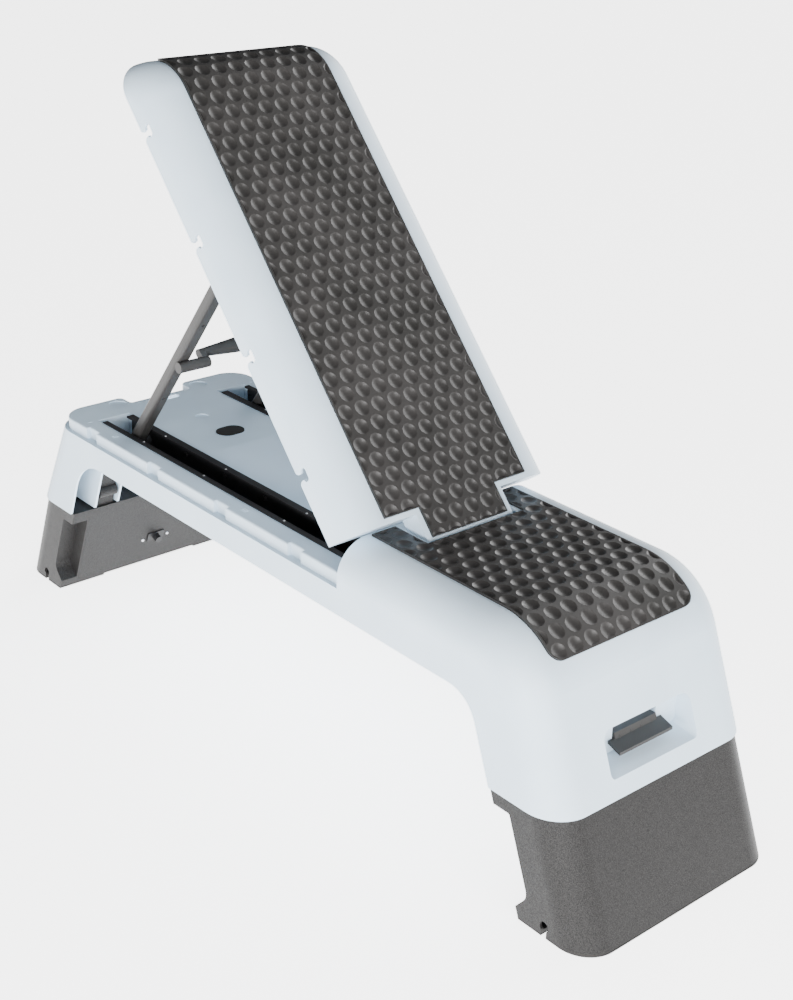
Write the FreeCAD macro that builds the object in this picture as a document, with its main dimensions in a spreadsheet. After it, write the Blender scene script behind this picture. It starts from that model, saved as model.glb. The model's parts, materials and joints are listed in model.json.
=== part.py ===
import FreeCAD, Part
import math
import os

# Adjustable step deck with a hinged backrest, a sliding prop and folding legs.
# Millimetres and degrees. The origin lies on the floor under the middle of the
# deck, +X runs toward the seat end, +Y to the left side and +Z up.

GAP_COUNT = 4
SIZES = {
    # whole deck
    "deck_width": 340.0,
    "half_span": 632.9,
    "seat_height": 349.0,
    "housing_tall": 198.5,
    "lean_run": 55.3,
    "lean_rise": 145.5,
    "rear_run": 69.2,
    "rail_drop": 95.0,
    "ledge_drop": 59.0,
    "block_drop": 42.0,
    "wall": 3.5,
    "overrun": 20.0,
    "side_round": 46.0,
    "front_round": 106.0,
    "front_arch": 48.0,
    "rear_arch": 77.0,
    "housing_lip": 3.5,
    "housing_depth": 110.0,
    "seat_back": 188.0,
    # raised deck between the rails
    "block_side_in": 7.0,
    "block_rear_in": 8.0,
    "block_corner": 39.0,
    "block_edge": 2.5,
    "recess_side_in": 26.5,
    "recess_long": 32.5,
    "recess_round": 10.0,
    "gap_width": 28.0,
    "gap_depth": 6.0,
    "gap_first": 91.5,
    "gap_rear_in": 95.5,
    "crease_in": 270.0,
    "slope_drop": 22.0,
    "deck_slot_in": 46.0,
    "deck_slot_long": 44.0,
    "deck_slot_wide": 12.0,
    "dimple_depth": 2.0,
    "dimple_in": 143.5,
    "dimple_radius": 10.5,
    "corner_dimple_in": 22.5,
    "corner_dimple_out": 19.6,
    "corner_dimple_radius": 14.0,
    "bumper_in": 218.0,
    "bumper_long": 44.0,
    "bumper_wide": 34.0,
    "bumper_proud": 0.8,
    "bumper_flange": 3.0,
    "bumper_flange_thick": 2.0,
    # tracks for the feet of the prop
    "track_side_in": 36.5,
    "track_wide": 53.0,
    "track_rear_in": 65.0,
    "channel_rear_in": 13.0,
    "trough_wall": 3.0,
    "trough_deep": 35.0,
    "channel_wall": 3.0,
    "lip_proud": 1.5,
    "lip_thick": 3.0,
    "lip_inner_reach": 11.5,
    "lip_outer_reach": 8.5,
    "stud_radius": 3.5,
    "stud_proud": 2.5,
    "stud_up": 21.0,
    "stud_first_in": 162.0,
    "stud_pitch": 97.0,
    # seat housing
    "notch_in": 3.5,
    "notch_end": 252.0,
    "notch_deep": 54.0,
    "hinge_x": 234.0,
    "hinge_rod_radius": 5.0,
    "hinge_boss_radius": 11.0,
    "hinge_boss_long": 12.0,
    "rod_slack": 0.05,
    "rib_thick": 3.0,
    "rib_up": 3.0,
    "rib_rear_in": 177.0,
    "rib_pitch": 165.0,
    # seat mat and backrest mat
    "pad_side_in": 50.0,
    "pad_proud": 2.5,
    "pad_sunk": 1.0,
    "pad_slack": 0.3,
    "pad_corner": 18.0,
    "front_pad_rear": 193.0,
    "front_pad_middle": 255.5,
    "front_pad_ear_out": 4.5,
    # webs and leg axles
    "web_side_in": 40.0,
    "web_apart": 40.0,
    "web_back": 24.3,
    "web_top_drop": 29.0,
    "web_bottom_up": 2.5,
    "web_bottom_run": 60.0,
    "axle_drop": 24.0,
    "axle_radius": 5.0,
    "axle_proud": 3.0,
    # legs
    "leg_gap": 1.0,
    "leg_depth": 109.0,
    "leg_slack": 1.0,
    "leg_round": 42.0,
    "fold_gap": 1.7,
    "arm_thick": 30.0,
    "arm_radius": 14.0,
    "arm_root_outer": 52.0,
    "arm_tube_radius": 9.0,
    "arm_tube_up": 26.5,
    "foot_thick": 3.0,
    "foot_wide": 84.0,
    "toe_deep": 14.0,
    "grip_top_drop": 19.5,
    "grip_low": 36.0,
    "grip_end": 15.0,
    "grip_deep": 26.0,
    "grip_wide": 27.0,
    "keyhole_back": 68.0,
    "keyhole_neck": 8.0,
    "keyhole_round": 6.5,
    "keyhole_high": 14.0,
    "keyhole_deep": 16.0,
    "panel_thick": 3.5,
    "panel_slack": 0.3,
    "catch_wide": 30.0,
    "catch_high": 15.0,
    "catch_thick": 2.0,
    "catch_knob_radius": 6.0,
    "catch_knob_long": 11.0,
    "catch_z": 53.0,
    # finger pocket, lever and latch
    "pocket_half": 74.0,
    "pocket_up": 21.5,
    "pocket_tall": 54.0,
    "pocket_rise": 6.0,
    "pocket_drop": 4.0,
    "pocket_deep": 27.0,
    "pocket_top_round": 14.0,
    "pocket_low_round": 6.0,
    "paddle_half": 45.5,
    "paddle_front": 6.0,
    "paddle_low": 13.5,
    "paddle_thick": 4.0,
    "neck_half": 36.0,
    "neck_thick": 7.0,
    "lever_axle_deep": 58.0,
    "latch_deep": 40.0,
    "lever_hub": 6.0,
    "lever_pin_radius": 2.5,
    "lug_side": 44.0,
    "spring_radius": 4.2,
    "slot_slack": 1.5,
    "slot_room": 11.0,
    "lug_thick": 4.0,
    "latch_half": 20.0,
    "latch_thick": 4.0,
    "latch_rest": 0.6,
    # backrest, measured back from its hinge and up from it
    "back_front_top": 43.0,
    "back_front_low": 50.0,
    "back_over": 14.0,
    "back_end_run": 28.5,
    "back_end_round": 80.0,
    "back_top": 20.7,
    "back_low": 37.8,
    "tongue_gap": 5.4,
    "tongue_end": 5.3,
    "tongue_reach": 9.0,
    "tongue_root": 62.0,
    "tongue_under": 10.0,
    "tongue_round": 3.0,
    "tongue_rim": 8.1,
    "back_pad_front": 9.0,
    "back_pad_step": 50.5,
    "back_pad_side_in": 51.0,
    "back_rib_deep": 16.0,
    "back_rib_pitch": 110.0,
    "back_rib_side_in": 20.5,
    "slot_first": 142.5,
    "slot_neck": 9.0,
    "slot_neck_high": 11.0,
    "slot_mouth": 16.0,
    "slot_mouth_high": 4.0,
    "slot_head_wide": 18.0,
    "slot_head_high": 10.0,
    "slot_head_round": 4.5,
    # prop
    "prop_in": 285.0,
    "prop_under": 5.0,
    "prop_foot_in": 64.5,
    "prop_foot_play": 0.5,
    "strut_wide": 17.0,
    "strut_thick": 21.0,
    "strut_edge": 5.0,
    "prop_rod_radius": 5.0,
    "prop_rod_out": 4.0,
    "strut_hole": 2.5,
    "strut_hole_low": 122.0,
    "strut_hole_high": 296.0,
    "bracket_gap": 3.0,
    "bracket_thick": 20.0,
    "bracket_long": 44.0,
    "bracket_under": 12.0,
    "bracket_round": 10.0,
    "shoe_radius": 12.5,
    "shoe_wide": 38.0,
    "shoe_socket": 0.2,
    "handle_along": 210.0,
    "handle_rod_radius": 8.0,
    "handle_rod_out": 1.5,
    "handle_front": 15.0,
    "handle_lift": 16.0,
    "handle_crank_in": 34.0,
    "handle_crank_wide": 9.0,
    "handle_end_radius": 6.0,
    "handle_mid_radius": 11.0,
    "handle_mid_half": 16.0,
}


def worked_out(size):
    """Sizes that follow from the driving ones, so that neighbours keep together."""
    follow = {}
    half = size["deck_width"] / 2
    # across the deck
    follow["block_half"] = half - size["block_side_in"]
    follow["track_outer"] = half - size["track_side_in"]
    follow["track_inner"] = follow["track_outer"] - size["track_wide"]
    follow["lip_inner"] = follow["track_inner"] + size["lip_inner_reach"]
    follow["lip_outer"] = follow["track_outer"] - size["lip_outer_reach"]
    follow["recess_half"] = follow["track_inner"] - size["recess_side_in"]
    follow["corner_dimple_side"] = follow["recess_half"] + size["corner_dimple_out"]
    follow["notch_half"] = follow["track_inner"] - size["notch_in"]
    follow["front_pad_ear"] = follow["notch_half"] + size["front_pad_ear_out"]
    follow["pad_half"] = half - size["pad_side_in"]
    follow["back_pad_half"] = half - size["back_pad_side_in"]
    follow["tongue_half"] = follow["notch_half"] - size["tongue_gap"]
    follow["back_pad_tongue"] = follow["tongue_half"] - size["tongue_rim"]
    follow["back_rib_side"] = follow["track_inner"] - size["back_rib_side_in"]
    follow["web_outer_side"] = half - size["web_side_in"]
    follow["web_inner_side"] = follow["web_outer_side"] - size["web_apart"]
    follow["foot_inner_side"] = half - size["foot_wide"]
    follow["prop_side"] = (follow["lip_inner"] + follow["lip_outer"]) / 2
    follow["bracket_side"] = follow["prop_side"] + size["strut_thick"] / 2 + size["bracket_gap"]
    follow["prop_rod_half"] = follow["bracket_side"] + size["bracket_thick"] + size["prop_rod_out"]
    follow["handle_crank_side"] = follow["prop_side"] - size["handle_crank_in"]
    # up from the floor
    follow["housing_bottom"] = size["seat_height"] - size["housing_tall"]
    follow["rail_bottom"] = size["seat_height"] - size["rail_drop"]
    follow["ledge_height"] = size["seat_height"] - size["ledge_drop"]
    follow["block_height"] = size["seat_height"] - size["block_drop"]
    follow["trough_floor"] = follow["block_height"] - size["trough_deep"]
    follow["lip_top"] = follow["block_height"] + size["lip_proud"]
    follow["stud_height"] = follow["trough_floor"] + size["stud_up"]
    follow["notch_floor"] = size["seat_height"] - size["notch_deep"]
    follow["hinge_z"] = size["seat_height"] - size["back_top"]
    follow["rib_bottom"] = follow["rail_bottom"] + size["rib_up"]
    follow["web_top_z"] = follow["rail_bottom"] - size["web_top_drop"]
    follow["web_bottom_z"] = follow["housing_bottom"] + size["web_bottom_up"]
    follow["axle_z"] = follow["rail_bottom"] - size["axle_drop"]
    follow["arm_tube_z"] = follow["housing_bottom"] + size["arm_tube_up"]
    follow["grip_top"] = follow["housing_bottom"] - size["leg_gap"] - size["grip_top_drop"]
    follow["pocket_low"] = follow["housing_bottom"] + size["pocket_up"]
    follow["pocket_high"] = follow["pocket_low"] + size["pocket_tall"]
    follow["lever_level"] = follow["pocket_low"] + size["pocket_tall"] / 2
    follow["latch_top"] = follow["lever_level"] - size["neck_thick"] / 2
    follow["prop_foot_z"] = (follow["trough_floor"] + size["channel_wall"] + size["shoe_radius"]
                             + size["prop_foot_play"])
    # along the deck, measured back from its middle
    slope = size["lean_run"] / size["lean_rise"]
    face = size["half_span"] + size["housing_lip"] - slope * follow["housing_bottom"]
    follow["rear_top"] = face - size["rear_run"]
    follow["block_rear"] = follow["rear_top"] - size["block_rear_in"]
    follow["recess_front"] = follow["block_rear"] - size["recess_long"]
    follow["crease_back"] = follow["block_rear"] - size["crease_in"]
    follow["deck_slot_back"] = follow["block_rear"] - size["deck_slot_in"]
    follow["dimple_back"] = follow["block_rear"] - size["dimple_in"]
    follow["corner_dimple_back"] = follow["block_rear"] - size["corner_dimple_in"]
    follow["bumper_back"] = follow["block_rear"] - size["bumper_in"]
    follow["rib_rear_back"] = follow["block_rear"] - size["rib_rear_in"]
    follow["gap_pitch"] = (follow["block_rear"] - size["gap_rear_in"] + size["gap_first"]) / (GAP_COUNT - 1)
    follow["track_rear"] = follow["block_rear"] - size["track_rear_in"]
    follow["channel_rear"] = follow["track_rear"] - size["channel_rear_in"]
    follow["stud_first_back"] = follow["track_rear"] - size["stud_first_in"]
    follow["prop_foot_back"] = follow["track_rear"] - size["prop_foot_in"]
    # along the backrest, measured back from its hinge
    follow["back_end"] = follow["block_rear"] + size["hinge_x"] + size["back_over"]
    follow["prop_back"] = follow["back_end"] - size["prop_in"]
    return follow


REST_ANGLE = 47.87
FRONT_PAD_WRAP = 50.0
BACK_PAD_WRAP = 61.0
TINY = 1e-7
STUD_COUNT = 3
RIB_COUNT = 3

doc = FreeCAD.newDocument("step_deck")
sheet = doc.addObject("Spreadsheet::Sheet", "sizes")
NAMED = dict(SIZES)
NAMED.update(worked_out(SIZES))
for row, alias in enumerate(NAMED, start=1):
    sheet.set("A%d" % row, alias)
    sheet.set("B%d" % row, str(NAMED[alias]))
    sheet.setAlias("B%d" % row, alias)
doc.recompute()


class Dims:
    """The named sizes, read back from the sheet."""


dim = Dims()
for alias in NAMED:
    setattr(dim, alias, float(sheet.get(alias)))

Vector = FreeCAD.Vector
UP = Vector(0, 0, 1)
ACROSS = Vector(0, 1, 0)
pieces = {}


def outline(corners):
    """Closed loop of lines, with an arc at each corner that carries a radius."""
    count = len(corners)
    joins = []
    for i, corner in enumerate(corners):
        here = Vector(corner[0], corner[1], 0)
        radius = corner[2] if len(corner) > 2 else 0
        if not radius:
            joins.append((here, None, here))
            continue
        last = corners[i - 1]
        following = corners[(i + 1) % count]
        to_last = (Vector(last[0], last[1], 0) - here).normalize()
        to_next = (Vector(following[0], following[1], 0) - here).normalize()
        half = to_last.getAngle(to_next) / 2
        reach = radius / math.tan(half)
        crown = (to_last + to_next).normalize() * (radius / math.sin(half) - radius)
        joins.append((here + to_last * reach, here + crown, here + to_next * reach))
    loop = []
    for i, (start, middle, end) in enumerate(joins):
        if middle is not None:
            loop.append(Part.Arc(start, middle, end))
        following = joins[(i + 1) % count][0]
        if not following.isEqual(end, TINY):
            loop.append(Part.LineSegment(end, following))
    return loop


def ring(u, v, radius):
    """Full circle of a sketch."""
    return [Part.Circle(Vector(u, v, 0), UP, radius)]


def draw(body, role, loops, lift):
    """Sketch on one of the body's own planes, lifted along the plane's normal."""
    sketch = body.newObject("Sketcher::SketchObject", body.Name + "_sketch")
    plane = [item for item in body.Origin.OriginFeatures if item.Role == role][0]
    sketch.AttachmentSupport = [(plane, "")]
    sketch.MapMode = "FlatFace"
    sketch.AttachmentOffset = FreeCAD.Placement(Vector(0, 0, lift), FreeCAD.Rotation())
    for loop in loops:
        sketch.addGeometry(loop, False)
    return sketch


def pad(body, role, loops, length, lift=0.0, side="Symmetric"):
    """Pad of closed loops in a body, its length bound to the sheet."""
    feature = body.newObject("PartDesign::Pad", body.Name + "_pad")
    feature.Profile = draw(body, role, loops, lift)
    feature.SideType = side
    feature.setExpression("Length", length)
    return feature


def prism(name, role, loops, length, lift=0.0, side="Symmetric"):
    """Body with a single pad."""
    body = doc.addObject("PartDesign::Body", name)
    pad(body, role, loops, length, lift, side)
    return body


def soften(body, radius, chosen):
    """Fillet on the edges of the body's tip that the test picks."""
    doc.recompute()
    base = body.Tip
    names = []
    for i, edge in enumerate(base.Shape.Edges, start=1):
        middle = edge.valueAt((edge.FirstParameter + edge.LastParameter) / 2)
        if chosen(edge, middle):
            names.append("Edge%d" % i)
    fillet = body.newObject("PartDesign::Fillet", body.Name + "_fillet")
    fillet.Base = (base, names)
    fillet.setExpression("Radius", radius)
    return fillet


def block(name, low, spans):
    """Box from its low corner, the three spans bound to the sheet."""
    solid = doc.addObject("Part::Box", name)
    for side, text in zip(("Length", "Width", "Height"), spans):
        solid.setExpression(side, text)
    solid.Placement = FreeCAD.Placement(Vector(*low), FreeCAD.Rotation())
    return solid


def bar(name, x, start, z, radius, length):
    """Round bar along Y from its start, bound to the sheet."""
    solid = doc.addObject("Part::Cylinder", name)
    solid.setExpression("Radius", radius)
    solid.setExpression("Height", length)
    turn = FreeCAD.Rotation(Vector(1, 0, 0), -90)
    solid.Placement = FreeCAD.Placement(Vector(x, start, z), turn)
    return solid


def post(name, x, y, z, radius, length):
    """Upright round bar from its foot, bound to the sheet."""
    solid = doc.addObject("Part::Cylinder", name)
    solid.setExpression("Radius", radius)
    solid.setExpression("Height", length)
    solid.Placement = FreeCAD.Placement(Vector(x, y, z), FreeCAD.Rotation())
    return solid


def fuse(name, solids):
    joined = doc.addObject("Part::MultiFuse", name)
    joined.Shapes = solids
    joined.Refine = True
    return joined


def shared(name, solids):
    kept = doc.addObject("Part::MultiCommon", name)
    kept.Shapes = solids
    return kept


def cut(name, base, tools):
    result = doc.addObject("Part::Cut", name)
    result.Base = base
    result.Tool = tools[0] if len(tools) == 1 else fuse(name + "_tools", tools)
    result.Refine = True
    return result


def piece(label, solid):
    """Mark an object as a finished sub-part."""
    solid.Label = label
    pieces[label] = solid
    return solid


# Lines that the housings and legs share.
half_width = dim.deck_width / 2
lean = dim.lean_run / dim.lean_rise
lean_hyp = math.hypot(1, lean)


def leg_face(z):
    return dim.half_span - lean * z


def leg_inner(z):
    return leg_face(z) - dim.leg_depth


def front_face(z):
    return leg_face(z) + dim.housing_lip


rear_lean = (front_face(dim.housing_bottom) - dim.rear_top) / (dim.ledge_height - dim.housing_bottom)
rear_hyp = math.hypot(1, rear_lean)


def rear_face(z):
    return -(front_face(dim.housing_bottom) - rear_lean * (z - dim.housing_bottom))


def arch_line(z):
    return front_face(z) - dim.housing_depth


def front_inside(z):
    return front_face(z) - dim.wall * lean_hyp


def rear_inside(z):
    return rear_face(z) + dim.wall * rear_hyp


# The leg folds under the deck about this axle, its inner face just under the rails.
folded_top = dim.rail_bottom - dim.fold_gap
axle_x = leg_inner(dim.axle_z) + (folded_top - dim.axle_z) * lean_hyp
leg_half = half_width - dim.wall - dim.leg_slack
leg_top = dim.housing_bottom - dim.leg_gap


# Base: outer form, with the raised deck on the ledge.
form = doc.addObject("PartDesign::Body", "base_form")
pad(form, "XZ_Plane", [outline([
    (front_face(dim.housing_bottom), dim.housing_bottom),
    (front_face(dim.seat_height), dim.seat_height, dim.front_round),
    (dim.seat_back, dim.seat_height),
    (dim.seat_back, dim.ledge_height),
    (-dim.rear_top, dim.ledge_height),
    (rear_face(dim.housing_bottom), dim.housing_bottom),
    (-arch_line(dim.housing_bottom), dim.housing_bottom),
    (-arch_line(dim.rail_bottom), dim.rail_bottom, dim.rear_arch),
    (arch_line(dim.rail_bottom), dim.rail_bottom, dim.front_arch),
    (arch_line(dim.housing_bottom), dim.housing_bottom),
])], "sizes.deck_width")


def on_side(edge, half):
    """Whether an edge lies in one of the two side planes."""
    for sign in (1, -1):
        if all(abs(vertex.Y - sign * half) < dim.leg_gap for vertex in edge.Vertexes):
            return True
    return False


def straight(edge):
    return edge.Curve.TypeId == "Part::GeomLine"


def outer_chain(edge, middle, half, front, rear):
    """Edges of the seat top, the front face and the rear face on a side plane."""
    if not on_side(edge, half):
        return False
    seat = middle.x > dim.seat_back + dim.overrun and middle.z > dim.ledge_height
    face = abs(middle.x - front(middle.z)) < dim.leg_gap
    back = abs(middle.x - rear(middle.z)) < dim.leg_gap
    return seat or face or back


soften(form, "sizes.side_round",
       lambda edge, middle: outer_chain(edge, middle, half_width, front_face, rear_face))

gap_floor = dim.block_half - dim.gap_depth
gap_half = dim.gap_width / 2
deck_front = dim.seat_back + dim.wall / 2
left_side = [(deck_front, dim.block_half)]
right_side = [(deck_front, -dim.block_half)]
for number in range(GAP_COUNT):
    middle_x = dim.gap_first - number * dim.gap_pitch
    for side, points in ((1, left_side), (-1, right_side)):
        points.append((middle_x + gap_half, side * dim.block_half))
        points.append((middle_x + gap_half, side * gap_floor))
        points.append((middle_x - gap_half, side * gap_floor))
        points.append((middle_x - gap_half, side * dim.block_half))
rear_edge = [
    (-dim.block_rear, dim.block_half, dim.block_corner),
    (-dim.block_rear, dim.recess_half, dim.recess_round),
    (-dim.recess_front, dim.recess_half, dim.recess_round),
    (-dim.recess_front, -dim.recess_half, dim.recess_round),
    (-dim.block_rear, -dim.recess_half, dim.recess_round),
    (-dim.block_rear, -dim.block_half, dim.block_corner),
]
pad(form, "XY_Plane", [outline(left_side + rear_edge + right_side[::-1])],
    "sizes.block_height - sizes.ledge_height", dim.ledge_height, "One side")
soften(form, "sizes.block_edge",
       lambda edge, middle: abs(middle.z - dim.block_height) < dim.rod_slack
       and middle.x < dim.seat_back - dim.rod_slack)

# Base: the hollow inside, open below.
core_low = dim.housing_bottom - dim.overrun
core_top = dim.seat_height - dim.wall
ledge_under = dim.ledge_height - dim.wall
block_under = dim.block_height - dim.wall
core = doc.addObject("PartDesign::Body", "base_core")
pad(core, "XZ_Plane", [outline([
    (front_inside(core_low), core_low),
    (front_inside(core_top), core_top, dim.front_round - dim.wall),
    (dim.seat_back + dim.wall, core_top),
    (dim.seat_back + dim.wall, ledge_under),
    (rear_inside(ledge_under), ledge_under),
    (rear_inside(core_low), core_low),
])], "sizes.deck_width - 2 * sizes.wall")
soften(core, "sizes.side_round - sizes.wall",
       lambda edge, middle: outer_chain(edge, middle, half_width - dim.wall, front_inside, rear_inside))

trough_in = dim.track_inner - dim.trough_wall
trough_out = dim.track_outer + dim.trough_wall
trough_low = dim.trough_floor - dim.trough_wall
hollows = [core]
for side, name in ((1, "left"), (-1, "right")):
    near = trough_out if side > 0 else -(gap_floor - dim.wall)
    hollows.append(block("rail_hollow_" + name, (-dim.track_rear, near, ledge_under - dim.overrun),
                         ("sizes.track_rear + sizes.seat_back",
                          "sizes.block_half - sizes.gap_depth - sizes.wall - sizes.track_outer - sizes.trough_wall",
                          "sizes.block_height - sizes.ledge_height + sizes.overrun")))
hollows.append(block("deck_hollow", (-dim.recess_front + dim.wall, -trough_in, ledge_under - dim.overrun),
                     ("sizes.recess_front - sizes.wall - sizes.crease_back",
                      "2 * (sizes.track_inner - sizes.trough_wall)",
                      "sizes.block_height - sizes.ledge_height + sizes.overrun")))
hollows.append(block("slope_room", (-dim.crease_back, -trough_in, ledge_under - dim.overrun),
                     ("sizes.crease_back + sizes.seat_back",
                      "2 * (sizes.track_inner - sizes.trough_wall)",
                      "sizes.block_height - sizes.ledge_height + 2 * sizes.overrun")))
walls = cut("base_walls", form, hollows)

# Base: parts added inside the hollow.
added = [walls]
for side, name in ((1, "left"), (-1, "right")):
    near = trough_in if side > 0 else -trough_out
    added.append(block("trough_" + name, (-dim.track_rear - dim.trough_wall, near, trough_low),
                       ("sizes.track_rear + sizes.trough_wall + sizes.seat_back + sizes.wall",
                        "sizes.track_outer - sizes.track_inner + 2 * sizes.trough_wall",
                        "sizes.block_height - sizes.trough_floor + sizes.trough_wall")))
slope_low = dim.block_height - dim.slope_drop
added.append(prism("slope_plate", "XZ_Plane", [outline([
    (-dim.crease_back - dim.wall, dim.block_height),
    (-dim.crease_back, dim.block_height),
    (dim.seat_back, slope_low),
    (dim.seat_back + dim.wall, slope_low),
    (dim.seat_back + dim.wall, slope_low - dim.wall),
    (dim.seat_back, slope_low - dim.wall),
    (-dim.crease_back, block_under),
    (-dim.crease_back - dim.wall, block_under),
])], "2 * sizes.track_inner"))
added.append(block("seat_back_foot", (dim.seat_back, -trough_out, slope_low - dim.wall),
                   ("sizes.wall", "2 * (sizes.track_outer + sizes.trough_wall)",
                    "sizes.ledge_height - sizes.block_height + sizes.slope_drop + sizes.wall")))
added.append(block("notch_walls", (dim.seat_back, -dim.notch_half - dim.wall, dim.notch_floor - dim.wall),
                   ("sizes.notch_end - sizes.seat_back + sizes.wall",
                    "2 * (sizes.notch_half + sizes.wall)",
                    "sizes.seat_height - sizes.notch_floor + sizes.wall")))
added.append(bar("hinge_boss_left", dim.hinge_x, dim.notch_half, dim.hinge_z,
                 "sizes.hinge_boss_radius", "sizes.wall + sizes.hinge_boss_long"))
added.append(bar("hinge_boss_right", dim.hinge_x, -dim.notch_half - dim.wall - dim.hinge_boss_long,
                 dim.hinge_z, "sizes.hinge_boss_radius", "sizes.wall + sizes.hinge_boss_long"))

inner_ribs = []
for number in range(RIB_COUNT):
    inner_ribs.append(block("cross_rib_%d" % (number + 1),
                            (-dim.rib_rear_back + number * dim.rib_pitch, -half_width, dim.rib_bottom),
                            ("sizes.rib_thick", "sizes.deck_width",
                             "sizes.ledge_height - sizes.rib_bottom")))
web_top = axle_x - dim.web_back
web_foot = web_top + lean * (dim.web_top_z - dim.web_bottom_z)
for end, end_name in ((1, "front"), (-1, "rear")):
    roof = dim.seat_height if end > 0 else dim.ledge_height
    for side, spot in ((1, dim.web_outer_side), (1, dim.web_inner_side),
                       (-1, dim.web_outer_side), (-1, dim.web_inner_side)):
        inner_ribs.append(prism("%s_web" % end_name, "XZ_Plane", [outline([
            (end * web_top, roof),
            (end * web_top, dim.web_top_z),
            (end * web_foot, dim.web_bottom_z),
            (end * (web_foot + dim.web_bottom_run), dim.web_bottom_z),
            (end * dim.half_span, dim.web_top_z),
            (end * dim.half_span, roof),
        ])], "sizes.wall", -side * spot))


# Finger pockets, with the lever coming out of the back wall of each.
def pocket_face(end, z):
    return front_face(z) if end > 0 else -rear_face(z)


def pocket_back(end):
    return pocket_face(end, dim.lever_level) - dim.pocket_deep


def lever_axle(end):
    return pocket_face(end, dim.lever_level) - dim.lever_axle_deep


cutters = []
for end, end_name in ((1, "front"), (-1, "rear")):
    back = pocket_back(end)
    axle = lever_axle(end)
    inner_ribs.append(prism(end_name + "_pocket_walls", "XZ_Plane", [outline([
        (end * (back - dim.wall), dim.pocket_low - dim.wall),
        (end * dim.half_span, dim.pocket_low - dim.wall),
        (end * dim.half_span, dim.pocket_high + dim.wall),
        (end * (back - dim.wall), dim.pocket_high + dim.wall),
    ])], "2 * (sizes.pocket_half + sizes.wall)"))
    floor_run = pocket_face(end, dim.pocket_low) - back
    roof_run = pocket_face(end, dim.pocket_high) - back
    floor_out = dim.pocket_low + dim.pocket_rise * (1 - (dim.half_span - back) / floor_run)
    roof_out = dim.pocket_high - dim.pocket_drop * (1 - (dim.half_span - back) / roof_run)
    room = prism(end_name + "_pocket", "XZ_Plane", [outline([
        (end * back, dim.pocket_low + dim.pocket_rise),
        (end * dim.half_span, floor_out),
        (end * dim.half_span, roof_out),
        (end * back, dim.pocket_high - dim.pocket_drop),
    ])], "2 * sizes.pocket_half")
    soften(room, "sizes.pocket_top_round",
           lambda edge, middle: on_side(edge, dim.pocket_half)
           and min(vertex.Z for vertex in edge.Vertexes) > dim.lever_level)
    soften(room, "sizes.pocket_low_round",
           lambda edge, middle: on_side(edge, dim.pocket_half)
           and max(vertex.Z for vertex in edge.Vertexes) < dim.lever_level)
    cutters.append(room)
    cutters.append(prism(end_name + "_lever_slot", "XZ_Plane", [outline([
        (end * (back - dim.wall - dim.slot_slack), dim.lever_level - dim.slot_room - dim.slot_slack),
        (end * (back + dim.slot_slack), dim.lever_level - dim.slot_room - dim.slot_slack),
        (end * (back + dim.slot_slack), dim.lever_level + dim.slot_room),
        (end * (back - dim.wall - dim.slot_slack), dim.lever_level + dim.slot_room),
    ])], "2 * (sizes.neck_half + sizes.slot_slack)"))
    for side in (1, -1):
        inner_ribs.append(prism(end_name + "_lever_lug", "XZ_Plane", [outline([
            (end * (axle - dim.slot_room), dim.lever_level - dim.slot_room),
            (end * (back - dim.wall / 2), dim.lever_level - dim.slot_room),
            (end * (back - dim.wall / 2), dim.lever_level + dim.slot_room),
            (end * (axle - dim.slot_room), dim.lever_level + dim.slot_room),
        ])], "sizes.lug_thick", -side * (dim.lug_side + dim.lug_thick / 2)))
    cutters.append(bar(end_name + "_lever_bore", end * axle, -dim.lug_side - dim.overrun, dim.lever_level,
                       "sizes.lever_pin_radius + sizes.rod_slack / 2", "2 * (sizes.lug_side + sizes.overrun)"))
    for side in (1, -1):
        start = dim.web_inner_side - dim.wall if side > 0 else -dim.web_outer_side - dim.wall
        cutters.append(bar(end_name + "_axle_bore", end * axle_x, start, dim.axle_z,
                           "sizes.axle_radius + sizes.rod_slack / 2",
                           "sizes.web_outer_side - sizes.web_inner_side + 2 * sizes.wall"))

added.append(shared("inner_parts", [core, fuse("inner_ribs", inner_ribs)]))

# Base: openings.
for side, name in ((1, "left"), (-1, "right")):
    near = dim.track_inner if side > 0 else -dim.track_outer
    cutters.append(block("track_opening_" + name, (-dim.track_rear, near, dim.trough_floor),
                         ("sizes.track_rear + sizes.seat_back", "sizes.track_outer - sizes.track_inner",
                          "sizes.block_height - sizes.trough_floor + sizes.overrun")))
cutters.append(block("notch_room", (dim.seat_back - dim.overrun, -dim.notch_half, dim.notch_floor),
                     ("sizes.notch_end - sizes.seat_back + sizes.overrun", "2 * sizes.notch_half",
                      "sizes.seat_height - sizes.notch_floor + sizes.overrun")))
rod_half = dim.notch_half + dim.wall + dim.hinge_boss_long
cutters.append(bar("hinge_bore", dim.hinge_x, -rod_half - dim.wall, dim.hinge_z,
                   "sizes.hinge_rod_radius + sizes.rod_slack / 2",
                   "2 * (sizes.notch_half + 2 * sizes.wall + sizes.hinge_boss_long)"))
dimple_floor = dim.block_height - dim.dimple_depth
cutters.append(post("deck_dimple", -dim.dimple_back, 0, dimple_floor,
                    "sizes.dimple_radius", "sizes.overrun"))
for side, name in ((1, "left"), (-1, "right")):
    cutters.append(post("corner_dimple_" + name, -dim.corner_dimple_back, side * dim.corner_dimple_side,
                        dimple_floor, "sizes.corner_dimple_radius", "sizes.overrun"))


def oblong(first, last, radius):
    """Closed loop with round ends about two centres."""
    start = Vector(first[0], first[1], 0)
    stop = Vector(last[0], last[1], 0)
    along = (stop - start).normalize() * radius
    across = Vector(-along.y, along.x, 0)
    return [
        Part.LineSegment(start + across, stop + across),
        Part.Arc(stop + across, stop + along, stop - across),
        Part.LineSegment(stop - across, start - across),
        Part.Arc(start - across, start - along, start + across),
    ]


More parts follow.
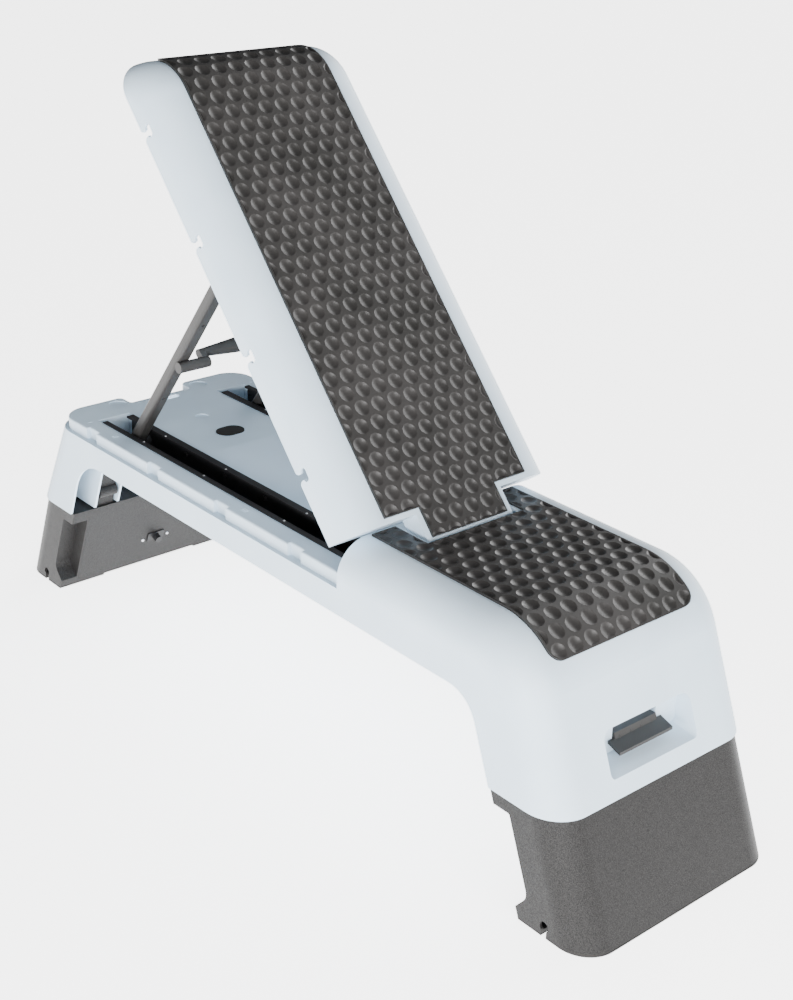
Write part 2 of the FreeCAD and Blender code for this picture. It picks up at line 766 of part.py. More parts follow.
def deck_oblong(back, length, width, spread):
    """Oblong across the deck, grown all round by a spread."""
    reach = (length - width) / 2
    return oblong((-back, -reach), (-back, reach), width / 2 + spread)


cutters.append(prism("deck_slot", "XY_Plane",
                     [deck_oblong(dim.deck_slot_back, dim.deck_slot_long, dim.deck_slot_wide, 0)],
                     "2 * sizes.overrun", dim.block_height))
cutters.append(prism("bumper_hole", "XY_Plane",
                     [deck_oblong(dim.bumper_back, dim.bumper_long, dim.bumper_wide, dim.pad_slack)],
                     "2 * sizes.overrun", dim.block_height))


def mat_loop(start, flat_end, level, radius, wrap, under, over, forward):
    """Strip that lies on a level top and wraps part of the way round a shoulder."""
    turn = math.radians(wrap)
    middle = Vector(flat_end, level - radius, 0)

    def around(angle, reach):
        return middle + Vector(forward * math.sin(angle), math.cos(angle), 0) * reach

    low = radius - under
    high = radius + over
    return [
        Part.LineSegment(Vector(start, level - under, 0), around(0, low)),
        Part.Arc(around(0, low), around(turn / 2, low), around(turn, low)),
        Part.LineSegment(around(turn, low), around(turn, high)),
        Part.Arc(around(turn, high), around(turn / 2, high), around(0, high)),
        Part.LineSegment(around(0, high), Vector(start, level + over, 0)),
        Part.LineSegment(Vector(start, level + over, 0), Vector(start, level - under, 0)),
    ]


def shoulder_start(corner, run_slope, radius):
    """Where a level top leaves for a shoulder arc toward a leaning face."""
    return corner - radius * math.tan((math.pi / 2 - math.atan(run_slope)) / 2)


# Seat mat and its shallow bed.
seat_flat = shoulder_start(front_face(dim.seat_height), lean, dim.front_round)


def seat_mat(name, slack, over):
    body = prism(name, "XZ_Plane", [mat_loop(
        dim.front_pad_rear - slack, seat_flat, dim.seat_height, dim.front_round,
        FRONT_PAD_WRAP + math.degrees(slack / dim.front_round), dim.pad_sunk, over, 1)],
        "2 * sizes.pad_half" + (" + 2 * sizes.pad_slack" if slack else ""))
    soften(body, "sizes.pad_corner",
           lambda edge, middle: on_side(edge, dim.pad_half + slack) and straight(edge)
           and middle.z < dim.seat_height - dim.wall)
    return body


tongue_room = "2 * sizes.front_pad_ear"
mat_step = block("seat_mat_step", (dim.seat_back, -dim.front_pad_ear, dim.seat_height - dim.overrun),
                 ("sizes.front_pad_middle - sizes.seat_back", tongue_room, "2 * sizes.overrun"))
bed_step = block("seat_bed_step", (dim.seat_back, -dim.front_pad_ear + dim.pad_slack, dim.seat_height - dim.overrun),
                 ("sizes.front_pad_middle - sizes.seat_back - sizes.pad_slack",
                  "2 * (sizes.front_pad_ear - sizes.pad_slack)", "2 * sizes.overrun"))
piece("front_pad", cut("front_pad_cut", seat_mat("front_pad_sheet", 0, dim.pad_proud), [mat_step]))
cutters.append(cut("front_bed_cut", seat_mat("front_bed_sheet", dim.pad_slack, dim.overrun), [bed_step]))

piece("base_shell", cut("base_cut", fuse("base_joined", added), cutters))

# Bumper in the deck, with a flange under the deck plate.
bumper = doc.addObject("PartDesign::Body", "bumper_body")
pad(bumper, "XY_Plane", [deck_oblong(dim.bumper_back, dim.bumper_long, dim.bumper_wide, 0)],
    "sizes.wall + sizes.bumper_proud", block_under, "One side")
pad(bumper, "XY_Plane", [deck_oblong(dim.bumper_back, dim.bumper_long, dim.bumper_wide, dim.bumper_flange)],
    "sizes.bumper_flange_thick", block_under - dim.bumper_flange_thick, "One side")
piece("deck_bumper", bumper)

# Lipped channels for the feet of the prop.
for side, name in ((1, "left"), (-1, "right")):
    inner = dim.track_inner + dim.rod_slack
    outer = dim.track_outer - dim.rod_slack
    floor = dim.trough_floor + dim.channel_wall
    lip_under = dim.lip_top - dim.lip_thick
    section = outline([
        (side * inner, dim.trough_floor), (side * outer, dim.trough_floor),
        (side * outer, dim.lip_top), (side * dim.lip_outer, dim.lip_top),
        (side * dim.lip_outer, lip_under), (side * (outer - dim.channel_wall), lip_under),
        (side * (outer - dim.channel_wall), floor), (side * (inner + dim.channel_wall), floor),
        (side * (inner + dim.channel_wall), lip_under), (side * dim.lip_inner, lip_under),
        (side * dim.lip_inner, dim.lip_top), (side * inner, dim.lip_top)])
    channel = prism("channel_" + name, "YZ_Plane", [section],
                    "sizes.channel_rear + sizes.seat_back - 2 * sizes.rod_slack",
                    -dim.channel_rear + dim.rod_slack, "One side")
    studs = []
    for number in range(STUD_COUNT):
        stud_x = -dim.stud_first_back + number * dim.stud_pitch
        wall_face = inner + dim.channel_wall
        start = wall_face - dim.channel_wall / 2 if side > 0 else -wall_face - dim.stud_proud
        studs.append(bar("stud_%s_%d" % (name, number + 1), stud_x, start, dim.stud_height,
                         "sizes.stud_radius", "sizes.stud_proud + sizes.channel_wall / 2"))
    piece("track_" + name, fuse("track_joined_" + name, [channel] + studs))

# Rods and pins that stay with the base.
piece("backrest_hinge_rod", bar("hinge_rod", dim.hinge_x, -rod_half, dim.hinge_z, "sizes.hinge_rod_radius",
                                "2 * (sizes.notch_half + sizes.wall + sizes.hinge_boss_long)"))
for end, end_name in ((1, "front"), (-1, "rear")):
    axles = []
    for side in (1, -1):
        inner = dim.web_inner_side - dim.wall / 2 - dim.axle_proud
        outer = dim.web_outer_side + dim.wall / 2 + dim.axle_proud
        axles.append(bar(end_name + "_axle", end * axle_x, inner if side > 0 else -outer, dim.axle_z,
                         "sizes.axle_radius",
                         "sizes.web_outer_side - sizes.web_inner_side + sizes.wall + 2 * sizes.axle_proud"))
    piece(end_name + "_leg_axles", fuse(end_name + "_axles", axles))
    axle = lever_axle(end)
    pin_half = dim.lug_side + dim.lug_thick
    piece(end_name + "_lever_pin", bar(end_name + "_pin", end * axle, -pin_half, dim.lever_level,
                                       "sizes.lever_pin_radius", "2 * (sizes.lug_side + sizes.lug_thick)"))
    sleeve_start = dim.neck_half + dim.slot_slack
    sleeve = bar(end_name + "_coil", end * axle, sleeve_start, dim.lever_level, "sizes.spring_radius",
                 "sizes.lug_side - sizes.neck_half - 2 * sizes.slot_slack")
    sleeve_bore = bar(end_name + "_coil_bore", end * axle, sleeve_start - dim.wall, dim.lever_level,
                      "sizes.lever_pin_radius + sizes.rod_slack / 2",
                      "sizes.lug_side - sizes.neck_half + 2 * sizes.wall")
    piece(end_name + "_lever_spring", cut(end_name + "_coil_cut", sleeve, [sleeve_bore]))

# Finger levers, each with a latch plate hanging from its neck.
for end, end_name in ((1, "front"), (-1, "rear")):
    face = pocket_face(end, dim.lever_level)
    back = pocket_back(end)
    axle = lever_axle(end)
    latch_x = face - dim.latch_deep
    tip_z = dim.lever_level - dim.paddle_low
    root_z = dim.lever_level - dim.neck_thick
    lever = doc.addObject("PartDesign::Body", end_name + "_lever_body")
    pad(lever, "XZ_Plane", [outline([
        (end * (face - dim.paddle_front), tip_z),
        (end * (face - dim.paddle_front), tip_z + dim.paddle_thick),
        (end * (back + dim.slot_slack), root_z + dim.paddle_thick),
        (end * (back + dim.slot_slack), root_z),
    ])], "2 * sizes.paddle_half")
    pad(lever, "XZ_Plane", [outline([
        (end * (back + dim.paddle_front), root_z - dim.wall / 2),
        (end * (back + dim.slot_slack), dim.lever_level + dim.neck_thick / 2),
        (end * axle, dim.lever_level + dim.neck_thick / 2),
        (end * axle, dim.lever_level - dim.neck_thick / 2),
        (end * (back - dim.wall), dim.lever_level - dim.neck_thick / 2),
        (end * (back + dim.slot_slack), root_z),
    ])], "2 * sizes.neck_half")
    hub = bar(end_name + "_hub", end * axle, -dim.neck_half, dim.lever_level, "sizes.lever_hub",
              "2 * sizes.neck_half")
    hub_bore = bar(end_name + "_hub_bore", end * axle, -dim.neck_half - dim.wall, dim.lever_level,
                   "sizes.lever_pin_radius + sizes.rod_slack", "2 * (sizes.neck_half + sizes.wall)")
    piece(end_name + "_lever", cut(end_name + "_lever_cut",
                                   fuse(end_name + "_lever_joined", [lever, hub]), [hub_bore]))
    latch_low = leg_top + dim.latch_rest
    piece(end_name + "_latch", prism(end_name + "_latch_body", "XZ_Plane", [outline([
        (end * (latch_x - dim.latch_thick / 2), latch_low),
        (end * (latch_x + dim.latch_thick / 2), latch_low),
        (end * (latch_x + dim.latch_thick / 2), dim.latch_top),
        (end * (latch_x - dim.latch_thick / 2), dim.latch_top),
    ])], "2 * sizes.latch_half"))

# Legs: shell, inner panel, catch and rubber feet.
leg_width = "sizes.deck_width - 2 * sizes.wall - 2 * sizes.leg_slack"
arm_side = (dim.web_outer_side + dim.web_inner_side) / 2
for end, end_name in ((1, "front"), (-1, "rear")):
    leg = doc.addObject("PartDesign::Body", end_name + "_leg_form")
    pad(leg, "XZ_Plane", [outline([
        (end * leg_face(0), 0), (end * leg_face(leg_top), leg_top),
        (end * leg_inner(leg_top), leg_top), (end * leg_inner(0), 0)])], leg_width)
    soften(leg, "sizes.leg_round",
           lambda edge, middle: on_side(edge, leg_half) and abs(abs(middle.x) - leg_face(middle.z)) < dim.leg_gap)
    low = dim.foot_thick + dim.wall
    high = leg_top - dim.wall
    skin = dim.wall * lean_hyp
    leg_core = doc.addObject("PartDesign::Body", end_name + "_leg_core")
    pad(leg_core, "XZ_Plane", [outline([
        (end * (leg_face(low) - skin), low), (end * (leg_face(high) - skin), high),
        (end * (leg_inner(high) - dim.overrun), high), (end * (leg_inner(low) - dim.overrun), low)])],
        leg_width + " - 2 * sizes.wall")
    soften(leg_core, "sizes.leg_round - sizes.wall",
           lambda edge, middle: on_side(edge, leg_half - dim.wall)
           and abs(abs(middle.x) - leg_face(middle.z) + skin) < dim.leg_gap)
    grips = []
    grip_walls = []
    keyholes = []
    for side in (1, -1):
        grip_mid = leg_half - dim.grip_wide / 2
        grip_walls.append(prism(end_name + "_grip_wall", "XZ_Plane", [outline([
            (end * leg_inner(dim.grip_top + dim.wall), dim.grip_top + dim.wall),
            (end * (leg_inner(dim.grip_top + dim.wall) + dim.grip_deep + dim.wall), dim.grip_top + dim.wall),
            (end * (leg_inner(dim.grip_low) + dim.grip_deep + dim.wall), dim.grip_low - dim.wall / 2),
            (end * (leg_inner(dim.grip_end) + dim.wall), low - dim.wall / 2),
            (end * leg_inner(low), low - dim.wall / 2),
        ])], "sizes.grip_wide + sizes.wall", -side * (grip_mid - dim.wall / 2)))
        grips.append(prism(end_name + "_grip", "XZ_Plane", [outline([
            (end * (leg_inner(dim.grip_top) - dim.overrun), dim.grip_top),
            (end * (leg_inner(dim.grip_top) + dim.grip_deep), dim.grip_top, dim.wall),
            (end * (leg_inner(dim.grip_low) + dim.grip_deep), dim.grip_low, dim.grip_end),
            (end * leg_inner(dim.grip_end), dim.grip_end),
            (end * (leg_inner(dim.grip_end) - dim.overrun), dim.grip_end),
        ])], "sizes.grip_wide + sizes.overrun", -side * (grip_mid + dim.overrun / 2)))
        key_x = leg_face(0) - dim.keyhole_back
        key_half = dim.keyhole_neck / 2
        keyholes.append(prism(end_name + "_key_neck", "XZ_Plane", [outline([
            (end * (key_x - key_half), -dim.overrun), (end * (key_x + key_half), -dim.overrun),
            (end * (key_x + key_half), dim.keyhole_high), (end * (key_x - key_half), dim.keyhole_high)])],
            "sizes.keyhole_deep + sizes.overrun", -side * (leg_half - dim.keyhole_deep / 2 + dim.overrun / 2)))
        start = leg_half - dim.keyhole_deep if side > 0 else -leg_half - dim.overrun
        keyholes.append(bar(end_name + "_key_head", end * key_x, start, dim.keyhole_high,
                            "sizes.keyhole_round", "sizes.keyhole_deep + sizes.overrun"))
    arms = []
    arm_bores = []
    root = leg_inner(high) + dim.panel_thick * lean_hyp + dim.panel_slack
    for side in (1, -1):
        arms.append(prism(end_name + "_arm", "XZ_Plane", [outline([
            (end * root, high), (end * (root + dim.arm_root_outer), high),
            (end * (axle_x + dim.arm_radius), dim.axle_z), (end * (axle_x - dim.arm_radius), dim.axle_z)])],
            "sizes.arm_thick", -side * arm_side))
        start = arm_side - dim.arm_thick / 2 if side > 0 else -arm_side - dim.arm_thick / 2
        arms.append(bar(end_name + "_arm_eye", end * axle_x, start, dim.axle_z, "sizes.arm_radius",
                        "sizes.arm_thick"))
        share = (dim.arm_tube_z - high) / (dim.axle_z - high)
        tube_x = root + share * (axle_x - dim.arm_radius - root)
        arms.append(bar(end_name + "_arm_tube", end * tube_x, start, dim.arm_tube_z, "sizes.arm_tube_radius",
                        "sizes.arm_thick"))
        arm_bores.append(bar(end_name + "_arm_bore", end * axle_x, start - dim.wall, dim.axle_z,
                             "sizes.axle_radius + sizes.rod_slack", "sizes.arm_thick + 2 * sizes.wall"))
    sole_slab = block(end_name + "_sole_slab",
                      (-dim.half_span - dim.overrun if end < 0 else 0, -half_width, -dim.overrun),
                      ("sizes.half_span + sizes.overrun", "sizes.deck_width", "sizes.overrun + sizes.foot_thick"))
    hollow = cut(end_name + "_leg_hollow", leg, [leg_core, sole_slab])
    wall_set = fuse(end_name + "_grip_walls", grip_walls)
    kept_walls = shared(end_name + "_grip_kept", [leg, wall_set])
    joined = fuse(end_name + "_leg_joined", [hollow, kept_walls] + arms)
    piece(end_name + "_leg_shell", cut(end_name + "_leg_cut", joined, grips + keyholes + arm_bores))

    panel_low = low + dim.panel_slack
    panel_high = high - dim.panel_slack
    panel_skin = dim.panel_thick * lean_hyp
    panel = prism(end_name + "_panel_sheet", "XZ_Plane", [outline([
        (end * leg_inner(panel_low), panel_low), (end * (leg_inner(panel_low) + panel_skin), panel_low),
        (end * (leg_inner(panel_high) + panel_skin), panel_high), (end * leg_inner(panel_high), panel_high)])],
        leg_width + " - 2 * sizes.wall - 2 * sizes.panel_slack")
    grip_rooms = []
    for side in (1, -1):
        grip_mid = leg_half - dim.grip_wide / 2
        grip_rooms.append(prism(end_name + "_grip_room", "XZ_Plane", [outline([
            (end * (leg_inner(low) - dim.overrun), -dim.overrun),
            (end * (leg_inner(low) + dim.overrun), -dim.overrun),
            (end * (leg_inner(dim.grip_top) + dim.overrun), dim.grip_top + dim.wall + dim.panel_slack),
            (end * (leg_inner(dim.grip_top) - dim.overrun), dim.grip_top + dim.wall + dim.panel_slack)])],
            "sizes.grip_wide + sizes.wall + 2 * sizes.panel_slack", -side * (grip_mid - dim.wall / 2)))
    piece(end_name + "_leg_panel", cut(end_name + "_panel_cut", panel, grip_rooms))

    catch_low = dim.catch_z - dim.catch_high / 2
    catch_high = dim.catch_z + dim.catch_high / 2
    plate_skin = dim.catch_thick * lean_hyp
    plate = prism(end_name + "_catch_plate", "XZ_Plane", [outline([
        (end * leg_inner(catch_low), catch_low), (end * leg_inner(catch_high), catch_high),
        (end * (leg_inner(catch_high) - plate_skin), catch_high),
        (end * (leg_inner(catch_low) - plate_skin), catch_low)])], "sizes.catch_wide")
    knob = doc.addObject("Part::Cylinder", end_name + "_catch_knob")
    knob.setExpression("Radius", "sizes.catch_knob_radius")
    knob.setExpression("Height", "sizes.catch_knob_long")
    inward = Vector(-end, 0, -lean).normalize()
    knob_foot = Vector(end * leg_inner(dim.catch_z), 0, dim.catch_z) + inward * (dim.catch_thick / 2)
    knob.Placement = FreeCAD.Placement(knob_foot, FreeCAD.Rotation(UP, inward))
    piece(end_name + "_leg_catch", fuse(end_name + "_catch_joined", [plate, knob]))

    sole = shared(end_name + "_sole", [leg, sole_slab])
    middle_room = block(end_name + "_sole_gap",
                        (-dim.half_span + dim.toe_deep if end < 0 else 0, -dim.foot_inner_side, -dim.overrun),
                        ("sizes.half_span - sizes.toe_deep", "2 * sizes.foot_inner_side", "2 * sizes.overrun"))
    piece(end_name + "_leg_feet", cut(end_name + "_feet_cut", sole, [middle_room] + keyholes))

# Backrest, drawn flat about its hinge and then raised.
raised = FreeCAD.Placement(Vector(dim.hinge_x, 0, dim.hinge_z), FreeCAD.Rotation(ACROSS, REST_ANGLE))
back_slope = dim.back_end_run / (dim.back_top + dim.back_low)
back_hyp = math.hypot(1, back_slope)
front_slope = (dim.back_front_low - dim.back_front_top) / (dim.back_top + dim.back_low)


def back_end(n):
    return -(dim.back_end - back_slope * (n + dim.back_low))


def back_front(n):
    return -(dim.back_front_top + front_slope * (dim.back_top - n))


core_under = dim.back_low + dim.overrun
back_long = doc.addObject("PartDesign::Body", "back_long")
pad(back_long, "XZ_Plane", [outline([
    (back_front(-core_under), -core_under),
    (back_front(dim.back_top), dim.back_top),
    (back_end(dim.back_top), dim.back_top, dim.back_end_round),
    (back_end(-core_under), -core_under)])], "sizes.deck_width")


soften(back_long, "sizes.side_round",
       lambda edge, middle: on_side(edge, half_width)
       and (abs(middle.z - dim.back_top) < dim.leg_gap
            or abs(middle.x - back_end(middle.z)) < dim.leg_gap
            or (edge.Curve.TypeId == "Part::GeomCircle" and edge.Curve.Radius > dim.side_round)))
below = block("back_below", (-dim.back_end - dim.back_end_run, -half_width, -core_under - dim.overrun),
              ("sizes.back_end + sizes.back_end_run", "sizes.deck_width", "2 * sizes.overrun"))
back_form = cut("back_form", back_long, [below])
back_in = dim.wall * back_hyp
back_core = doc.addObject("PartDesign::Body", "back_core")
pad(back_core, "XZ_Plane", [outline([
    (back_front(-core_under) - dim.wall, -core_under),
    (back_front(dim.back_top - dim.wall) - dim.wall, dim.back_top - dim.wall),
    (back_end(dim.back_top - dim.wall) + back_in, dim.back_top - dim.wall, dim.back_end_round - dim.wall),
    (back_end(-core_under) + back_in, -core_under)])], "sizes.deck_width - 2 * sizes.wall")
soften(back_core, "sizes.side_round - sizes.wall",
       lambda edge, middle: on_side(edge, half_width - dim.wall)
       and (abs(middle.z - dim.back_top + dim.wall) < dim.leg_gap
            or abs(middle.x - back_end(middle.z) - back_in) < dim.leg_gap
            or (edge.Curve.TypeId == "Part::GeomCircle" and edge.Curve.Radius > dim.side_round)))
back_walls = cut("back_walls", back_form, [back_core])

back_ribs = []
rib_low = dim.back_top - dim.wall - dim.back_rib_deep
rib_high = "sizes.back_rib_deep + sizes.wall / 2"
for number in (-3, -2, -1, 1, 2):
    rib_back = dim.prop_back + number * dim.back_rib_pitch
    back_ribs.append(block("back_rib", (-rib_back, -half_width, rib_low),
                           ("sizes.rib_thick", "sizes.deck_width", rib_high)))
for side in (1, -1):
    back_ribs.append(block("back_long_rib", (-dim.back_end, side * dim.back_rib_side, rib_low),
                           ("sizes.back_end - sizes.back_front_top", "sizes.rib_thick", rib_high)))
back_extra = shared("back_inner", [back_form, fuse("back_ribs", back_ribs)])
tongue = prism("tongue_block", "XZ_Plane", [outline([
    (-dim.tongue_root, dim.back_top), (-dim.tongue_end, dim.back_top, dim.tongue_round),
    (dim.tongue_reach, dim.tongue_under / 2), (dim.tongue_reach, -dim.tongue_under / 2),
    (0, -dim.tongue_under), (-dim.tongue_root, -dim.tongue_under)])], "2 * sizes.tongue_half")
knuckle = bar("tongue_knuckle", 0, -dim.tongue_half, 0, "sizes.tongue_under", "2 * sizes.tongue_half")
back_joined = fuse("back_joined", [back_walls, back_extra, tongue, knuckle])

back_cuts = [bar("tongue_bore", 0, -half_width, 0, "sizes.hinge_rod_radius + sizes.rod_slack",
                 "sizes.deck_width")]
for number in range(GAP_COUNT):
    at = -dim.slot_first - number * dim.gap_pitch
    mouth = dim.slot_mouth / 2
    neck = dim.slot_neck / 2
    head = dim.slot_head_wide / 2
    base = -dim.back_low
    shoulder = base + dim.slot_neck_high
    crown = shoulder + dim.slot_head_high
    back_cuts.append(prism("band_slot_%d" % (number + 1), "XZ_Plane", [outline([
        (at - mouth, base - dim.overrun), (at + mouth, base - dim.overrun), (at + mouth, base),
        (at + neck, base + dim.slot_mouth_high), (at + neck, shoulder),
        (at + head, shoulder, dim.slot_head_round), (at + head, crown, dim.slot_head_round),
        (at - head, crown, dim.slot_head_round), (at - head, shoulder, dim.slot_head_round),
        (at - neck, shoulder), (at - neck, base + dim.slot_mouth_high), (at - mouth, base)])],
        "sizes.deck_width + sizes.overrun"))

back_flat = -shoulder_start(-back_end(dim.back_top), back_slope, dim.back_end_round)


def back_mat(name, slack, over):
    body = prism(name, "XZ_Plane", [mat_loop(
        -dim.back_pad_front + slack, back_flat, dim.back_top, dim.back_end_round,
        BACK_PAD_WRAP + math.degrees(slack / dim.back_end_round), dim.pad_sunk, over, -1)],
        "2 * sizes.back_pad_half" + (" + 2 * sizes.pad_slack" if slack else ""))
    soften(body, "sizes.pad_corner",
           lambda edge, middle: on_side(edge, dim.back_pad_half + slack) and straight(edge)
           and middle.z < dim.back_top - dim.wall)
    steps = []
    for side in (1, -1):
        edge_y = dim.back_pad_tongue + slack
        start = edge_y if side > 0 else -edge_y - dim.back_pad_half
        steps.append(block(name + "_step", (-dim.back_pad_step + slack, start, dim.back_top - dim.overrun),
                           ("sizes.back_pad_step", "sizes.back_pad_half", "2 * sizes.overrun")))
    return cut(name + "_cut", body, steps)


back_cuts.append(back_mat("back_bed", dim.pad_slack, dim.overrun))
piece("backrest_shell", cut("back_cut", back_joined, back_cuts)).Placement = raised
piece("backrest_pad", back_mat("back_mat", 0, dim.pad_proud)).Placement = raised

# Brackets and rod under the backrest that carry the prop.
plate_under = dim.back_top - dim.wall
for side, name in ((1, "left"), (-1, "right")):
    middle_y = side * (dim.bracket_side + dim.bracket_thick / 2)
    bracket = prism("bracket_" + name, "XZ_Plane", [outline([
        (-dim.prop_back - dim.bracket_long / 2, plate_under),
        (-dim.prop_back + dim.bracket_long / 2, plate_under),
        (-dim.prop_back + dim.bracket_round, -dim.prop_under - dim.bracket_under, dim.bracket_round / 2),
        (-dim.prop_back - dim.bracket_round, -dim.prop_under - dim.bracket_under, dim.bracket_round / 2)])],
        "sizes.bracket_thick", -middle_y)
    bracket_bore = bar("bracket_bore_" + name, -dim.prop_back,
                       middle_y - dim.bracket_thick, -dim.prop_under,
                       "sizes.prop_rod_radius + sizes.rod_slack / 2", "2 * sizes.bracket_thick")
    seated = shared("bracket_seated_" + name, [back_core, bracket])
    piece("support_bracket_" + name, cut("bracket_cut_" + name, seated, [bracket_bore])).Placement = raised
prop_rod = bar("prop_rod", -dim.prop_back, -dim.prop_rod_half, -dim.prop_under, "sizes.prop_rod_radius",
               "2 * sizes.prop_rod_half")
rod_turned = prop_rod.Placement
prop_rod.Placement = raised.multiply(rod_turned)
piece("support_rod", prop_rod)

# Prop, drawn along its length from the pivot and then swung to its foot.
pivot = raised.multVec(Vector(-dim.prop_back, 0, -dim.prop_under))
foot = Vector(-dim.prop_foot_back, 0, dim.prop_foot_z)
prop_long = (foot - pivot).Length
swing = math.degrees(math.atan2(pivot.z - foot.z, pivot.x - foot.x))
leaning = FreeCAD.Placement(pivot, FreeCAD.Rotation(ACROSS, -swing))
strut_half = dim.strut_wide / 2
handle_x = -prop_long + dim.handle_along
for side, name in ((1, "left"), (-1, "right")):
    strut = doc.addObject("PartDesign::Body", "strut_body_" + name)
    pad(strut, "XZ_Plane", [
        oblong((0, 0), (-prop_long, 0), strut_half),
        ring(0, 0, dim.prop_rod_radius + dim.rod_slack),
    ], "sizes.strut_thick", -side * dim.prop_side)
    soften(strut, "sizes.strut_edge",
           lambda edge, middle: straight(edge) and abs(abs(middle.z) - strut_half) < dim.rod_slack)
    strut_cuts = [bar("handle_seat_" + name, handle_x, side * dim.prop_side - dim.strut_thick, -dim.handle_front,
                      "sizes.handle_rod_radius + sizes.rod_slack", "2 * sizes.strut_thick")]
    for along in (dim.strut_hole_low, dim.strut_hole_high):
        strut_cuts.append(post("strut_hole_" + name, -prop_long + along, side * dim.prop_side, -dim.strut_wide,
                               "sizes.strut_hole", "2 * sizes.strut_wide"))
    piece("strut_" + name, cut("strut_cut_" + name, strut, strut_cuts)).Placement = leaning

    shoe = bar("shoe_" + name, -prop_long, side * dim.prop_side - dim.shoe_wide / 2, 0, "sizes.shoe_radius",
               "sizes.shoe_wide")
    socket = prism("shoe_socket_" + name, "XZ_Plane", [outline([
        (dim.overrun, -strut_half - dim.shoe_socket), (dim.overrun, strut_half + dim.shoe_socket),
        (-prop_long - strut_half - dim.shoe_socket, strut_half + dim.shoe_socket, strut_half),
        (-prop_long - strut_half - dim.shoe_socket, -strut_half - dim.shoe_socket, strut_half)])],
        "sizes.strut_thick + 2 * sizes.shoe_socket", -side * dim.prop_side)
    piece("strut_foot_" + name, cut("shoe_cut_" + name, shoe, [socket])).Placement = leaning



# Cross handle: a rod along the front of each strut, cranked back to a grip that is thickest at the middle.
def taper(name, start, first, last):
    solid = doc.addObject("Part::Cone", name)
    solid.setExpression("Radius1", first)
    solid.setExpression("Radius2", last)
    solid.setExpression("Height", "sizes.handle_crank_side - sizes.handle_mid_half")
    turn = FreeCAD.Rotation(Vector(1, 0, 0), -90)
    solid.Placement = FreeCAD.Placement(Vector(handle_x, start, grip_z), turn)
    return solid


grip_z = dim.handle_lift - dim.handle_front
rod_inner = dim.handle_crank_side - dim.handle_crank_wide / 2
rod_outer = dim.prop_side + dim.strut_thick / 2 + dim.handle_rod_out
rod_long = "sizes.handle_crank_in + sizes.handle_crank_wide / 2 + sizes.strut_thick / 2 + sizes.handle_rod_out"
handle_parts = [
    bar("handle_grip", handle_x, -dim.handle_mid_half, grip_z, "sizes.handle_mid_radius",
        "2 * sizes.handle_mid_half"),
    taper("handle_taper_left", dim.handle_mid_half, "sizes.handle_mid_radius", "sizes.handle_end_radius"),
    taper("handle_taper_right", -dim.handle_crank_side, "sizes.handle_end_radius", "sizes.handle_mid_radius"),
    bar("handle_rod_left", handle_x, rod_inner, -dim.handle_front, "sizes.handle_rod_radius", rod_long),
    bar("handle_rod_right", handle_x, -rod_outer, -dim.handle_front, "sizes.handle_rod_radius", rod_long),
]
for side in (1, -1):
    handle_parts.append(prism("handle_crank", "XZ_Plane", [
        oblong((handle_x, -dim.handle_front), (handle_x, grip_z), dim.handle_end_radius)],
        "sizes.handle_crank_wide", -side * dim.handle_crank_side))
piece("cross_handle", fuse("handle_joined", handle_parts)).Placement = leaning

doc.recompute()
for item in doc.Objects:
    if "Invalid" in item.State or "Error" in item.State:
        raise RuntimeError("feature %s did not build" % item.Name)
for label, solid in pieces.items():
    if solid.Shape.isNull() or not solid.Shape.isValid():
        raise RuntimeError("piece %s is not a valid solid" % label)

os.makedirs("parts", exist_ok=True)
for label, solid in pieces.items():
    solid.Shape.exportStep("parts/%s.step" % label)
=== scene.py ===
"""Dresses the step deck: grained plastics, dimpled rubber mats, small screws and plain marks.

Every length is in metres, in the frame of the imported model: X runs along the deck towards the
front, Y across it and Z up from the floor.
"""

import json
import math

import bmesh
import bpy
from mathutils import Matrix, Vector


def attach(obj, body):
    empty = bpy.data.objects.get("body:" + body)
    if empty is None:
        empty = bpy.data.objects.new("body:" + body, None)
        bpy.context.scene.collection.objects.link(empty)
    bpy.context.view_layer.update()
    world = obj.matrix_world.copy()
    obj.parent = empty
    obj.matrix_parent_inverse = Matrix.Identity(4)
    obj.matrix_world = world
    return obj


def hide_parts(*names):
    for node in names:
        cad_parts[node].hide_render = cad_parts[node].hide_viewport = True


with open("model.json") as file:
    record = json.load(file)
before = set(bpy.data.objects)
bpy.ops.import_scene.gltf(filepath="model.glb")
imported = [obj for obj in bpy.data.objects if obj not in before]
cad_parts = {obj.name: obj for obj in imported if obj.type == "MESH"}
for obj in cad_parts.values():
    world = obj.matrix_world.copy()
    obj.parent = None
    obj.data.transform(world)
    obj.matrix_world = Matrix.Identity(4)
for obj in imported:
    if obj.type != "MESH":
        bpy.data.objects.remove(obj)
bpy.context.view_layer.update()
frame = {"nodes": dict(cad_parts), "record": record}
nodes = frame["nodes"]
MM = 0.001


# finishes

MOULD_PATCH = 90.0 * MM
SPECKLE_PATCH = 80.0 * MM
GRAIN_DETAIL = 3.0
STEEL_DARK = (0.50, 0.50, 0.52)
STEEL_LIGHT = (0.66, 0.66, 0.68)
STEEL_MARK_SIZE = 2.0 * MM
STEEL_MARK_DETAIL = 4.0


def new_finish(name):
    """An empty finish: its node tree, its shader and the object's own coordinates."""
    finish = bpy.data.materials.new(name)
    finish.use_nodes = True
    tree = finish.node_tree
    shader = tree.nodes["Principled BSDF"]
    place = tree.nodes.new("ShaderNodeTexCoord").outputs["Object"]
    return finish, tree, shader, place


def noise(tree, place, size, detail=2.0):
    """A cloud pattern whose patches are about as wide as size."""
    cloud = tree.nodes.new("ShaderNodeTexNoise")
    cloud.inputs["Scale"].default_value = 1.0 / size
    cloud.inputs["Detail"].default_value = detail
    tree.links.new(place, cloud.inputs["Vector"])
    return cloud.outputs[0]


